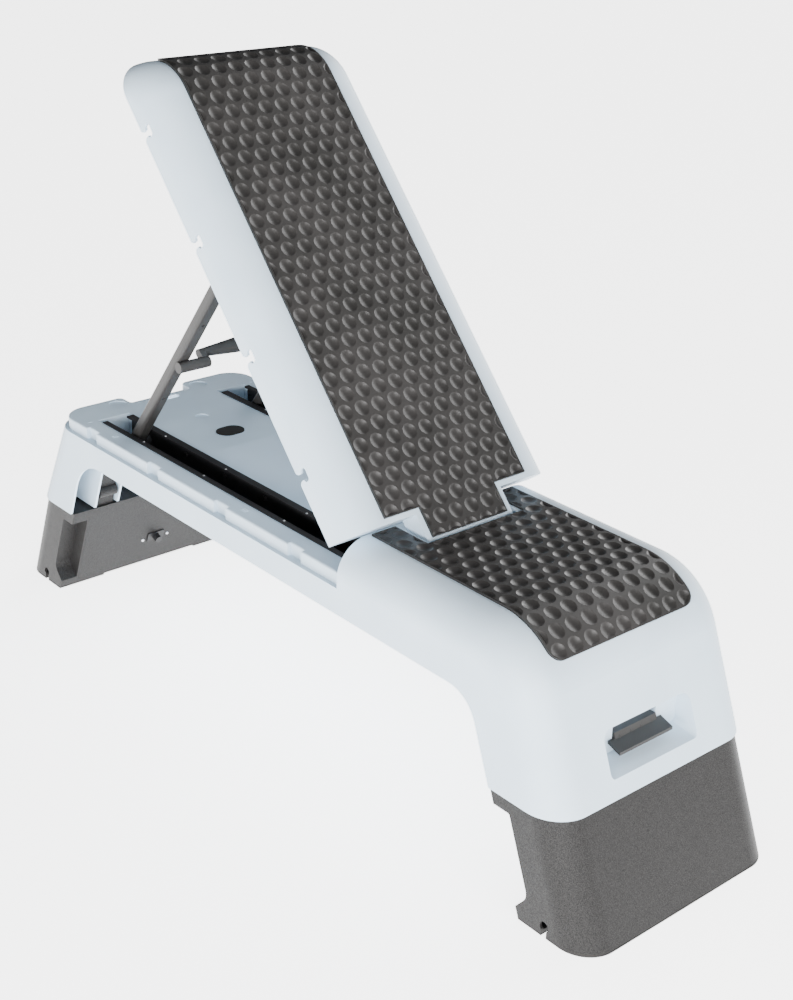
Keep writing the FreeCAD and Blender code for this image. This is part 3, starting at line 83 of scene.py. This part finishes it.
def tint(tree, shader, pattern, dark, light, low=0.35, high=0.65):
    """Colours the surface between two close tones, as the pattern goes from low to high."""
    ramp = tree.nodes.new("ShaderNodeValToRGB")
    ramp.color_ramp.elements[0].position = low
    ramp.color_ramp.elements[0].color = (*dark, 1.0)
    ramp.color_ramp.elements[1].position = high
    ramp.color_ramp.elements[1].color = (*light, 1.0)
    tree.links.new(pattern, ramp.inputs["Fac"])
    tree.links.new(ramp.outputs["Color"], shader.inputs["Base Color"])


def sheen_spread(tree, shader, pattern, smooth, rough):
    """Lets the gloss wander between two values, as on a moulded or handled surface."""
    spread = tree.nodes.new("ShaderNodeMapRange")
    spread.inputs["To Min"].default_value = smooth
    spread.inputs["To Max"].default_value = rough
    tree.links.new(pattern, spread.inputs["Value"])
    tree.links.new(spread.outputs["Result"], shader.inputs["Roughness"])


def grain(tree, shader, pattern, depth, strength):
    """Gives the surface a fine texture to the touch."""
    bump = tree.nodes.new("ShaderNodeBump")
    bump.inputs["Distance"].default_value = depth
    bump.inputs["Strength"].default_value = strength
    tree.links.new(pattern, bump.inputs["Height"])
    tree.links.new(bump.outputs["Normal"], shader.inputs["Normal"])


def moulded(name, dark, light, smooth, rough, shine, grain_size, grain_depth):
    """A moulded plastic or rubber: slow changes of tone and gloss under a fine grain."""
    finish, tree, shader, place = new_finish(name)
    shader.inputs["Specular IOR Level"].default_value = shine
    patches = noise(tree, place, MOULD_PATCH)
    tint(tree, shader, patches, dark, light)
    sheen_spread(tree, shader, patches, smooth, rough)
    grain(tree, shader, noise(tree, place, grain_size, GRAIN_DETAIL), grain_depth, strength=0.5)
    return finish


def speckled(name, dark, light, smooth, rough, shine, grain_size, grain_depth):
    """A dark moulding whose grain also shows as a fine speckle of tone."""
    finish, tree, shader, place = new_finish(name)
    shader.inputs["Specular IOR Level"].default_value = shine
    speckle = noise(tree, place, grain_size, GRAIN_DETAIL)
    tint(tree, shader, speckle, dark, light, low=0.3, high=0.7)
    sheen_spread(tree, shader, noise(tree, place, SPECKLE_PATCH), smooth, rough)
    grain(tree, shader, speckle, grain_depth, strength=0.6)
    return finish


def bright_steel(name):
    """Plated steel with fine marks."""
    finish, tree, shader, place = new_finish(name)
    marks = noise(tree, place, STEEL_MARK_SIZE, STEEL_MARK_DETAIL)
    tint(tree, shader, marks, STEEL_DARK, STEEL_LIGHT)
    sheen_spread(tree, shader, marks, smooth=0.22, rough=0.36)
    shader.inputs["Metallic"].default_value = 1.0
    return finish


FINISHES = {
    "shell_plastic": moulded(
        "pale_shell", dark=(0.505, 0.615, 0.710), light=(0.540, 0.650, 0.745),
        smooth=0.36, rough=0.46, shine=0.4, grain_size=1.6 * MM, grain_depth=0.05 * MM,
    ),
    "leg_plastic": speckled(
        "grained_leg", dark=(0.003, 0.0029, 0.0029), light=(0.035, 0.0335, 0.033),
        smooth=0.40, rough=0.51, shine=0.15, grain_size=1.1 * MM, grain_depth=0.35 * MM,
    ),
    "black_plastic": moulded(
        "black_track", dark=(0.010, 0.010, 0.011), light=(0.016, 0.016, 0.017),
        smooth=0.34, rough=0.46, shine=0.3, grain_size=1.4 * MM, grain_depth=0.06 * MM,
    ),
    "lever_plastic": moulded(
        "grey_lever", dark=(0.024, 0.023, 0.022), light=(0.034, 0.032, 0.031),
        smooth=0.42, rough=0.52, shine=0.3, grain_size=1.3 * MM, grain_depth=0.06 * MM,
    ),
    "mat_rubber": moulded(
        "mat_rubber", dark=(0.019, 0.018, 0.017), light=(0.028, 0.026, 0.025),
        smooth=0.33, rough=0.42, shine=0.4, grain_size=1.8 * MM, grain_depth=0.08 * MM,
    ),
    "foot_rubber": moulded(
        "foot_rubber", dark=(0.012, 0.0115, 0.0115), light=(0.026, 0.025, 0.024),
        smooth=0.55, rough=0.66, shine=0.15, grain_size=1.5 * MM, grain_depth=0.1 * MM,
    ),
    "prop_metal": moulded(
        "painted_prop", dark=(0.030, 0.029, 0.028), light=(0.040, 0.038, 0.037),
        smooth=0.30, rough=0.42, shine=0.25, grain_size=2.2 * MM, grain_depth=0.06 * MM,
    ),
    "steel": bright_steel("plain_steel"),
}


def dress_cad_nodes():
    """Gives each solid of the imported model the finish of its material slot."""
    for subpart in frame["record"]["subparts"]:
        piece = nodes[subpart["node"]]
        piece.data.materials.clear()
        piece.data.materials.append(FINISHES[subpart["material_slot"]])


# making pieces

CREASE_ANGLE = 35.0


def shade(mesh, sharp_angle):
    """Smooth shading, with a crease wherever two faces meet at more than the angle."""
    for face in mesh.polygons:
        face.use_smooth = True
    mesh.set_sharp_from_angle(angle=math.radians(sharp_angle))


def finish_piece(bm, name, body, slot, sharp_angle=CREASE_ANGLE, replaced=None):
    """Turns the bmesh into a piece that rides on a body and takes a slot's finish."""
    bmesh.ops.recalc_face_normals(bm, faces=bm.faces)
    mesh = bpy.data.meshes.new(name)
    bm.to_mesh(mesh)
    bm.free()
    shade(mesh, sharp_angle)
    piece = bpy.data.objects.new(name, mesh)
    bpy.context.scene.collection.objects.link(piece)
    mesh.materials.append(FINISHES[slot])
    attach(piece, body)
    if replaced:
        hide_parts(replaced)
    return piece


def all_geometry(bm):
    """Every corner, edge and face of the bmesh."""
    return bm.verts[:] + bm.edges[:] + bm.faces[:]


def trim(bm, point, outward):
    """Cuts away all that lies beyond a plane."""
    bmesh.ops.bisect_plane(
        bm, geom=all_geometry(bm), plane_co=point, plane_no=outward, clear_outer=True
    )


def score(bm, point, across):
    """Adds edges where a plane crosses the bmesh, and keeps both sides."""
    bmesh.ops.bisect_plane(bm, geom=all_geometry(bm), plane_co=point, plane_no=across)


# dimpled mats, drawn flat with X along the mat, Y across it and their top at zero

MAT_THICK = 3.3 * MM
MAT_BORDER = 2.0 * MM
BORDER_SLOPE = 3.5 * MM
MAT_CORNER = 18.0 * MM
CORNER_TURNS = (22.5, 45.0, 67.5)
CORNER_STEPS = 6
DIMPLE_PITCH = 26.5 * MM
DIMPLE_ROW = DIMPLE_PITCH * math.sqrt(3.0) / 2.0
DIMPLE_SIDES = 12
DIMPLE_RADIUS = 10.7 * MM
DIMPLE_DEPTH = 3.0 * MM
DIMPLE_BALL = (DIMPLE_RADIUS ** 2 + DIMPLE_DEPTH ** 2) / (2.0 * DIMPLE_DEPTH)
DIMPLE_RING_SHARES = (1.0, 0.86, 0.64, 0.35)
DIMPLE_CREASE = 25.0
BEND_STEP = 6.0 * MM
HAIR = 0.01 * MM


def dimple_drop(radius):
    """How deep the hollow is at a distance from its middle."""
    return math.sqrt(DIMPLE_BALL ** 2 - radius ** 2) - (DIMPLE_BALL - DIMPLE_DEPTH)


def dimple_cell(bm):
    """One six-sided cell of the mat with a round hollow in its middle."""
    side_distance = DIMPLE_PITCH / 2.0
    corner_distance = DIMPLE_PITCH / math.sqrt(3.0)
    bmesh.ops.create_circle(bm, segments=DIMPLE_SIDES, radius=corner_distance, cap_ends=True)
    bm.verts.ensure_lookup_table()
    for number, corner in enumerate(bm.verts):
        if number % 2 == 0:
            corner.co *= side_distance / corner_distance
    bm.faces.ensure_lookup_table()
    middle = bm.faces[0]
    for share in DIMPLE_RING_SHARES:
        radius = share * DIMPLE_RADIUS
        middle = bmesh.ops.extrude_discrete_faces(bm, faces=[middle])["faces"][0]
        for corner in middle.verts:
            flat = Vector((corner.co.x, corner.co.y, 0.0)).normalized() * radius
            corner.co = (flat.x, flat.y, -dimple_drop(radius))
    centre = bmesh.ops.poke(bm, faces=[middle])["verts"][0]
    centre.co = (0.0, 0.0, -DIMPLE_DEPTH)


def dimple_field(start, end, half):
    """Rows of hollows over the mat, each row set half a pitch aside from the last."""
    bm = bmesh.new()
    dimple_cell(bm)
    cell = all_geometry(bm)
    columns = math.ceil(half / DIMPLE_PITCH) + 1
    for row in range(math.ceil((end - start) / DIMPLE_ROW) + 2):
        for column in range(-columns, columns + 1):
            copy = bmesh.ops.duplicate(bm, geom=cell)["geom"]
            corners = [part for part in copy if isinstance(part, bmesh.types.BMVert)]
            aside = (column + 0.5 * (row % 2)) * DIMPLE_PITCH
            bmesh.ops.translate(bm, verts=corners, vec=(start + row * DIMPLE_ROW, aside, 0.0))
    first = [part for part in cell if isinstance(part, bmesh.types.BMVert)]
    bmesh.ops.delete(bm, geom=first, context="VERTS")
    bmesh.ops.remove_doubles(bm, verts=bm.verts, dist=HAIR)
    return bm


def trim_to_mat(bm, start, end, half):
    """Cuts the field to a long mat with rounded far corners."""
    trim(bm, (end, 0.0, 0.0), (1.0, 0.0, 0.0))
    trim(bm, (start, 0.0, 0.0), (-1.0, 0.0, 0.0))
    for side in (-1.0, 1.0):
        trim(bm, (0.0, side * half, 0.0), (0.0, side, 0.0))
        for turn in CORNER_TURNS:
            way = Vector((math.sin(math.radians(turn)), side * math.cos(math.radians(turn)), 0.0))
            middle = Vector((end - MAT_CORNER, side * (half - MAT_CORNER), 0.0))
            trim(bm, middle + way * MAT_CORNER, way)


def clear_box(bm, low, high, side_low, side_high):
    """Takes out the part of a flat mat between two lengths and two sides."""
    for length in (low, high):
        score(bm, (length, 0.0, 0.0), (1.0, 0.0, 0.0))
    for side in (side_low, side_high):
        score(bm, (0.0, side, 0.0), (0.0, 1.0, 0.0))
    inside = []
    for face in bm.faces:
        middle = face.calc_center_median()
        if low < middle.x < high and side_low < middle.y < side_high:
            inside.append(face)
    bmesh.ops.delete(bm, geom=inside, context="FACES")


def thicken(bm):
    """Draws the open edge of a flat mat down and closes its underside."""
    edge = [part for part in bm.edges if part.is_boundary]
    drawn = bmesh.ops.extrude_edge_only(bm, edges=edge)["geom"]
    for part in drawn:
        if isinstance(part, bmesh.types.BMVert):
            part.co.z = -MAT_THICK
    rim = [part for part in drawn if isinstance(part, bmesh.types.BMEdge) and part.is_boundary]
    bmesh.ops.triangle_fill(bm, edges=rim, use_beauty=True)


def largest_face(bm):
    """The face with the greatest area."""
    return max(bm.faces, key=lambda face: face.calc_area())


def border_ring(corners, rounded):
    """The plain border of a mat, which slopes down into the hollows that it cuts."""
    bm = bmesh.new()
    points = [bm.verts.new((*corner, 0.0)) for corner in corners]
    bm.faces.new(points)
    round_points = [points[number] for number in rounded]
    bmesh.ops.bevel(
        bm, geom=round_points, offset=MAT_CORNER, offset_type="OFFSET", affect="VERTICES",
        segments=CORNER_STEPS, profile=0.5, material=-1,
    )
    outline = largest_face(bm)
    bmesh.ops.inset_region(bm, faces=[outline], thickness=MAT_BORDER, use_boundary=True)
    inner = largest_face(bm)
    bmesh.ops.inset_region(bm, faces=[inner], thickness=BORDER_SLOPE, use_boundary=True)
    inner = largest_face(bm)
    for corner in inner.verts:
        corner.co.z = -DIMPLE_DEPTH
    bmesh.ops.delete(bm, geom=[inner], context="FACES_KEEP_BOUNDARY")
    top = bm.faces[:]
    drawn = bmesh.ops.extrude_face_region(bm, geom=top, use_keep_orig=True)["geom"]
    for part in drawn:
        if isinstance(part, bmesh.types.BMVert):
            part.co.z = -MAT_THICK
    return bm


def add_bmesh(bm, other):
    """Puts another bmesh's faces into this one."""
    spare = bpy.data.meshes.new("spare")
    other.to_mesh(spare)
    other.free()
    bm.from_mesh(spare)
    bpy.data.meshes.remove(spare)


def bend_over(bm, flat_end, radius, end):
    """Wraps the mat beyond flat_end down round a cylinder of the given radius."""
    length = flat_end
    while length < end:
        score(bm, (length, 0.0, 0.0), (1.0, 0.0, 0.0))
        length += BEND_STEP
    for corner in bm.verts:
        if corner.co.x > flat_end:
            turn = (corner.co.x - flat_end) / radius
            reach = radius + corner.co.z
            corner.co.x = flat_end + reach * math.sin(turn)
            corner.co.z = reach * math.cos(turn) - radius


# seat mat, in front of the backrest and over the front shoulder

SEAT_MAT_TOP = 351.5 * MM
SEAT_MAT_REAR = 193.3 * MM
SEAT_MAT_MIDDLE = 255.8 * MM
SEAT_MAT_EAR = 81.8 * MM
SEAT_MAT_HALF = 119.7 * MM
SEAT_FLAT_END = 430.6 * MM
SEAT_BEND = 108.5 * MM
SEAT_WRAP = math.radians(50.0)
SEAT_MAT_END = SEAT_FLAT_END + SEAT_BEND * SEAT_WRAP


def seat_mat():
    """The dimpled mat of the seat, with an ear beside each end of the hinge."""
    set_in = MAT_BORDER / 2.0
    bm = dimple_field(SEAT_MAT_REAR, SEAT_MAT_END, SEAT_MAT_HALF)
    trim_to_mat(bm, SEAT_MAT_REAR + set_in, SEAT_MAT_END - set_in, SEAT_MAT_HALF - set_in)
    ear = SEAT_MAT_EAR + set_in
    clear_box(bm, SEAT_MAT_REAR, SEAT_MAT_MIDDLE + set_in, -ear, ear)
    thicken(bm)
    corners = (
        (SEAT_MAT_REAR, -SEAT_MAT_HALF), (SEAT_MAT_END, -SEAT_MAT_HALF),
        (SEAT_MAT_END, SEAT_MAT_HALF), (SEAT_MAT_REAR, SEAT_MAT_HALF),
        (SEAT_MAT_REAR, SEAT_MAT_EAR), (SEAT_MAT_MIDDLE, SEAT_MAT_EAR),
        (SEAT_MAT_MIDDLE, -SEAT_MAT_EAR), (SEAT_MAT_REAR, -SEAT_MAT_EAR),
    )
    add_bmesh(bm, border_ring(corners, (1, 2)))
    bend_over(bm, SEAT_FLAT_END, SEAT_BEND, SEAT_MAT_END)
    bmesh.ops.translate(bm, verts=bm.verts, vec=(0.0, 0.0, SEAT_MAT_TOP))
    finish_piece(bm, "seat_mat", "base", "mat_rubber", DIMPLE_CREASE, "front_pad")


# backrest mat, drawn along the backrest from its hinge and then turned up

HINGE = Vector((234.0 * MM, 0.0, 328.3 * MM))
BACK_LEAN = math.radians(47.87)
BACK_MAT_TOP = 23.2 * MM
BACK_MAT_FRONT = 9.3 * MM
BACK_MAT_TONGUE = 63.2 * MM
BACK_MAT_STEP = 50.8 * MM
BACK_MAT_HALF = 118.7 * MM
BACK_FLAT_END = 671.5 * MM
BACK_BEND = 82.5 * MM
BACK_WRAP = math.radians(61.0)
BACK_MAT_END = BACK_FLAT_END + BACK_BEND * BACK_WRAP


def backrest_turn():
    """From lengths along the backrest to its place at rest."""
    along = Matrix.Scale(-1.0, 4, (1.0, 0.0, 0.0))
    return Matrix.Translation(HINGE) @ Matrix.Rotation(BACK_LEAN, 4, "Y") @ along


def backrest_mat():
    """The dimpled mat of the backrest, with a narrow tongue at the hinge."""
    set_in = MAT_BORDER / 2.0
    bm = dimple_field(BACK_MAT_FRONT, BACK_MAT_END, BACK_MAT_HALF)
    trim_to_mat(bm, BACK_MAT_FRONT + set_in, BACK_MAT_END - set_in, BACK_MAT_HALF - set_in)
    tongue = BACK_MAT_TONGUE - set_in
    step = BACK_MAT_STEP + set_in
    clear_box(bm, BACK_MAT_FRONT, step, tongue, BACK_MAT_HALF)
    clear_box(bm, BACK_MAT_FRONT, step, -BACK_MAT_HALF, -tongue)
    thicken(bm)
    corners = (
        (BACK_MAT_FRONT, -BACK_MAT_TONGUE), (BACK_MAT_STEP, -BACK_MAT_TONGUE),
        (BACK_MAT_STEP, -BACK_MAT_HALF), (BACK_MAT_END, -BACK_MAT_HALF),
        (BACK_MAT_END, BACK_MAT_HALF), (BACK_MAT_STEP, BACK_MAT_HALF),
        (BACK_MAT_STEP, BACK_MAT_TONGUE), (BACK_MAT_FRONT, BACK_MAT_TONGUE),
    )
    add_bmesh(bm, border_ring(corners, (3, 4)))
    bend_over(bm, BACK_FLAT_END, BACK_BEND, BACK_MAT_END)
    bmesh.ops.translate(bm, verts=bm.verts, vec=(0.0, 0.0, BACK_MAT_TOP))
    bmesh.ops.transform(bm, matrix=backrest_turn(), verts=bm.verts)
    finish_piece(bm, "backrest_mat", "backrest", "mat_rubber", DIMPLE_CREASE, "backrest_pad")


# small screws, dots and marks

STUD_SIDES = 16
STUD_TOP_SHARE = 0.72
STUD_SOFT_SHARE = 0.4
STUD_SOFT_STEPS = 2
LIP_SCREW_X = (-320.0 * MM, -165.0 * MM, 22.0 * MM)
LIP_SCREW_Y = (90.0 * MM, 127.0 * MM)
LIP_SCREW_RADIUS = 2.0 * MM
LIP_SCREW_PROUD = 0.7 * MM
LIP_TOP = 308.5 * MM
CATCH_SCREW_Y = 23.0 * MM
CATCH_SCREW_Z = 50.0 * MM
CATCH_SCREW_RADIUS = 3.2 * MM
CATCH_SCREW_PROUD = 1.4 * MM
LEG_INNER = 523.9 * MM
LEG_LEAN_RUN = 55.3 * MM
LEG_LEAN_RISE = 145.5 * MM
LEG_SLOPE = LEG_LEAN_RUN / LEG_LEAN_RISE
FRONT_NECK_X = 537.52 * MM
REAR_NECK_X = 531.89 * MM
NECK_DOT_Y = (-27.0 * MM, -9.0 * MM, 9.0 * MM, 27.0 * MM)
NECK_DOT_Z = 196.4 * MM
NECK_DOT_RADIUS = 2.0 * MM
NECK_DOT_PROUD = 0.6 * MM
NECK_OUT = 0.9387
NECK_UP = 0.3448
RAIL_MARK_X = (-437.0 * MM, -366.5 * MM, -39.0 * MM)
RAIL_MARK_Y = 147.0 * MM
RAIL_MARK_PITCH = 4.0 * MM
RAIL_MARK_SIZE = (1.6 * MM, 8.0 * MM, 1.0 * MM)
RAIL_TOP = 307.0 * MM


def add_stud(bm, place, outward, radius, proud):
    """A low round head with a softened rim, half sunk in the face that it stands on."""
    turn = Vector(outward).to_track_quat("Z", "Y").to_matrix().to_4x4()
    foot = Matrix.Translation(Vector(place)) @ turn
    head = bmesh.ops.create_cone(
        bm, cap_ends=True, segments=STUD_SIDES, radius1=radius, radius2=radius * STUD_TOP_SHARE,
        depth=2.0 * proud, matrix=foot,
    )["verts"]
    rim = head[-STUD_SIDES:]
    top = [edge for edge in bm.edges if edge.verts[0] in rim and edge.verts[1] in rim]
    bmesh.ops.bevel(
        bm, geom=top, offset=proud * STUD_SOFT_SHARE, offset_type="OFFSET", affect="EDGES",
        segments=STUD_SOFT_STEPS, profile=0.5, material=-1,
    )


def lip_screws():
    """Small bright screws along both lips of each track."""
    bm = bmesh.new()
    for along in LIP_SCREW_X:
        for aside in LIP_SCREW_Y:
            for side in (-1.0, 1.0):
                place = (along, side * aside, LIP_TOP)
                add_stud(bm, place, (0.0, 0.0, 1.0), LIP_SCREW_RADIUS, LIP_SCREW_PROUD)
    finish_piece(bm, "lip_screws", "base", "steel")


def catch_screws():
    """Two bright screws beside the catch of each leg."""
    for end, body in ((1.0, "front_leg"), (-1.0, "rear_leg")):
        bm = bmesh.new()
        along = end * (LEG_INNER - LEG_SLOPE * CATCH_SCREW_Z)
        for side in (-1.0, 1.0):
            place = (along, side * CATCH_SCREW_Y, CATCH_SCREW_Z)
            add_stud(bm, place, (-end, 0.0, -LEG_SLOPE), CATCH_SCREW_RADIUS, CATCH_SCREW_PROUD)
        finish_piece(bm, body + "_screws", body, "steel")


def neck_dots():
    """Four low dots across the neck of each lever."""
    for end, along, body in ((1.0, FRONT_NECK_X, "front_lever"), (-1.0, REAR_NECK_X, "rear_lever")):
        bm = bmesh.new()
        for aside in NECK_DOT_Y:
            place = (end * along, aside, NECK_DOT_Z)
            add_stud(bm, place, (end * NECK_OUT, 0.0, NECK_UP), NECK_DOT_RADIUS, NECK_DOT_PROUD)
        finish_piece(bm, body + "_dots", body, "lever_plastic")


def rail_marks():
    """One, two or three short raised bars at the three places of the prop."""
    bm = bmesh.new()
    for count, along in enumerate(RAIL_MARK_X, start=1):
        for side in (-1.0, 1.0):
            for number in range(count):
                shift = (number - (count - 1) / 2.0) * RAIL_MARK_PITCH
                place = Matrix.Translation((along + shift, side * RAIL_MARK_Y, RAIL_TOP))
                bar = place @ Matrix.Diagonal((*RAIL_MARK_SIZE, 1.0))
                bmesh.ops.create_cube(bm, size=1.0, matrix=bar)
    finish_piece(bm, "rail_marks", "base", "shell_plastic")


# floor, light and camera

WHITE = (1.0, 1.0, 1.0, 1.0)
FLOOR_SPAN = 30.0
FLOOR_DARK = (0.86, 0.86, 0.86)
FLOOR_LIGHT = (0.88, 0.88, 0.88)
FLOOR_PATCH = 0.8
FLOOR_ROUGH = 0.75
FLOOR_GLOW = 4.0
ROOM_LIGHT = 6.5
ROOM_TONE = (0.014, 0.015, 0.016, 1.0)
BRIGHT_WALL = (-0.12, 0.96, 0.25)
WALL_EDGE_SHARE = 0.84
WALL_FULL_SHARE = 0.95
BACKDROP_TONE = 4.5
LIGHTS = {
    "front_light": {
        "place": (3.2, -0.8, 1.4), "aim": (0.0, 0.0, 0.4), "wide": 2.4, "tall": 1.4, "power": 140.0,
    },
    "left_light": {
        "place": (1.7, -2.6, 0.8), "aim": (0.0, 0.0, 0.5), "wide": 2.4, "tall": 0.8, "power": 150.0,
    },
}
CAMERA_PLACE = (1.622457, -1.308102, 1.233524)
CAMERA_TURN = (69.4276, -1.6469, 48.7990)
CAMERA_LENS = 59.825
CAMERA_SHIFT = (-0.0341, -0.1049)


def studio_floor():
    """A plain pale floor that runs out of the picture."""
    bm = bmesh.new()
    bmesh.ops.create_grid(bm, x_segments=1, y_segments=1, size=FLOOR_SPAN / 2.0)
    mesh = bpy.data.meshes.new("studio_floor")
    bm.to_mesh(mesh)
    bm.free()
    finish, tree, shader, place = new_finish("pale_floor")
    tint(tree, shader, noise(tree, place, FLOOR_PATCH), FLOOR_DARK, FLOOR_LIGHT)
    shader.inputs["Roughness"].default_value = FLOOR_ROUGH
    shader.inputs["Emission Color"].default_value = WHITE
    shader.inputs["Emission Strength"].default_value = FLOOR_GLOW
    mesh.materials.append(finish)
    floor = bpy.data.objects.new("studio_floor", mesh)
    bpy.context.scene.collection.objects.link(floor)


def soft_light(name, place, aim, wide, tall, power):
    """A broad flat light pointed at a spot on the deck."""
    lamp = bpy.data.lights.new(name, "AREA")
    lamp.shape = "RECTANGLE"
    lamp.size = wide
    lamp.size_y = tall
    lamp.energy = power
    light = bpy.data.objects.new(name, lamp)
    light.location = place
    light.rotation_euler = (Vector(aim) - Vector(place)).to_track_quat("-Z", "Y").to_euler()
    bpy.context.scene.collection.objects.link(light)


def pale_room():
    """Dim light from all round, one bright wall low on the right, and a pale backdrop to look at."""
    room = bpy.data.worlds.new("pale_room")
    room.use_nodes = True
    tree = room.node_tree
    facing = tree.nodes.new("ShaderNodeVectorMath")
    facing.operation = "DOT_PRODUCT"
    facing.inputs[1].default_value = BRIGHT_WALL
    wall = tree.nodes.new("ShaderNodeValToRGB")
    wall.color_ramp.elements[0].position = WALL_EDGE_SHARE
    wall.color_ramp.elements[0].color = ROOM_TONE
    wall.color_ramp.elements[1].position = WALL_FULL_SHARE
    wall.color_ramp.elements[1].color = WHITE
    glow = tree.nodes["Background"]
    glow.inputs["Strength"].default_value = ROOM_LIGHT
    tree.links.new(tree.nodes.new("ShaderNodeTexCoord").outputs["Generated"], facing.inputs[0])
    tree.links.new(facing.outputs["Value"], wall.inputs["Fac"])
    tree.links.new(wall.outputs["Color"], glow.inputs["Color"])
    backdrop = tree.nodes.new("ShaderNodeBackground")
    backdrop.inputs["Color"].default_value = WHITE
    backdrop.inputs["Strength"].default_value = BACKDROP_TONE
    either = tree.nodes.new("ShaderNodeMixShader")
    tree.links.new(tree.nodes.new("ShaderNodeLightPath").outputs["Is Camera Ray"], either.inputs["Fac"])
    tree.links.new(glow.outputs["Background"], either.inputs[1])
    tree.links.new(backdrop.outputs["Background"], either.inputs[2])
    tree.links.new(either.outputs["Shader"], tree.nodes["World Output"].inputs["Surface"])
    bpy.context.scene.world = room


def studio_light():
    """A broad light in front and a low one from the left, in a pale room."""
    for name, light in LIGHTS.items():
        soft_light(name, **light)
    pale_room()


def photo_camera():
    """The camera at the photograph's place and angle."""
    lens = bpy.data.cameras.new("photo_camera")
    lens.lens = CAMERA_LENS
    lens.shift_x, lens.shift_y = CAMERA_SHIFT
    camera = bpy.data.objects.new("photo_camera", lens)
    camera.location = CAMERA_PLACE
    camera.rotation_euler = [math.radians(turn) for turn in CAMERA_TURN]
    bpy.context.scene.collection.objects.link(camera)
    bpy.context.scene.camera = camera


dress_cad_nodes()
seat_mat()
backrest_mat()
lip_screws()
catch_screws()
neck_dots()
rail_marks()
studio_floor()
studio_light()
photo_camera()
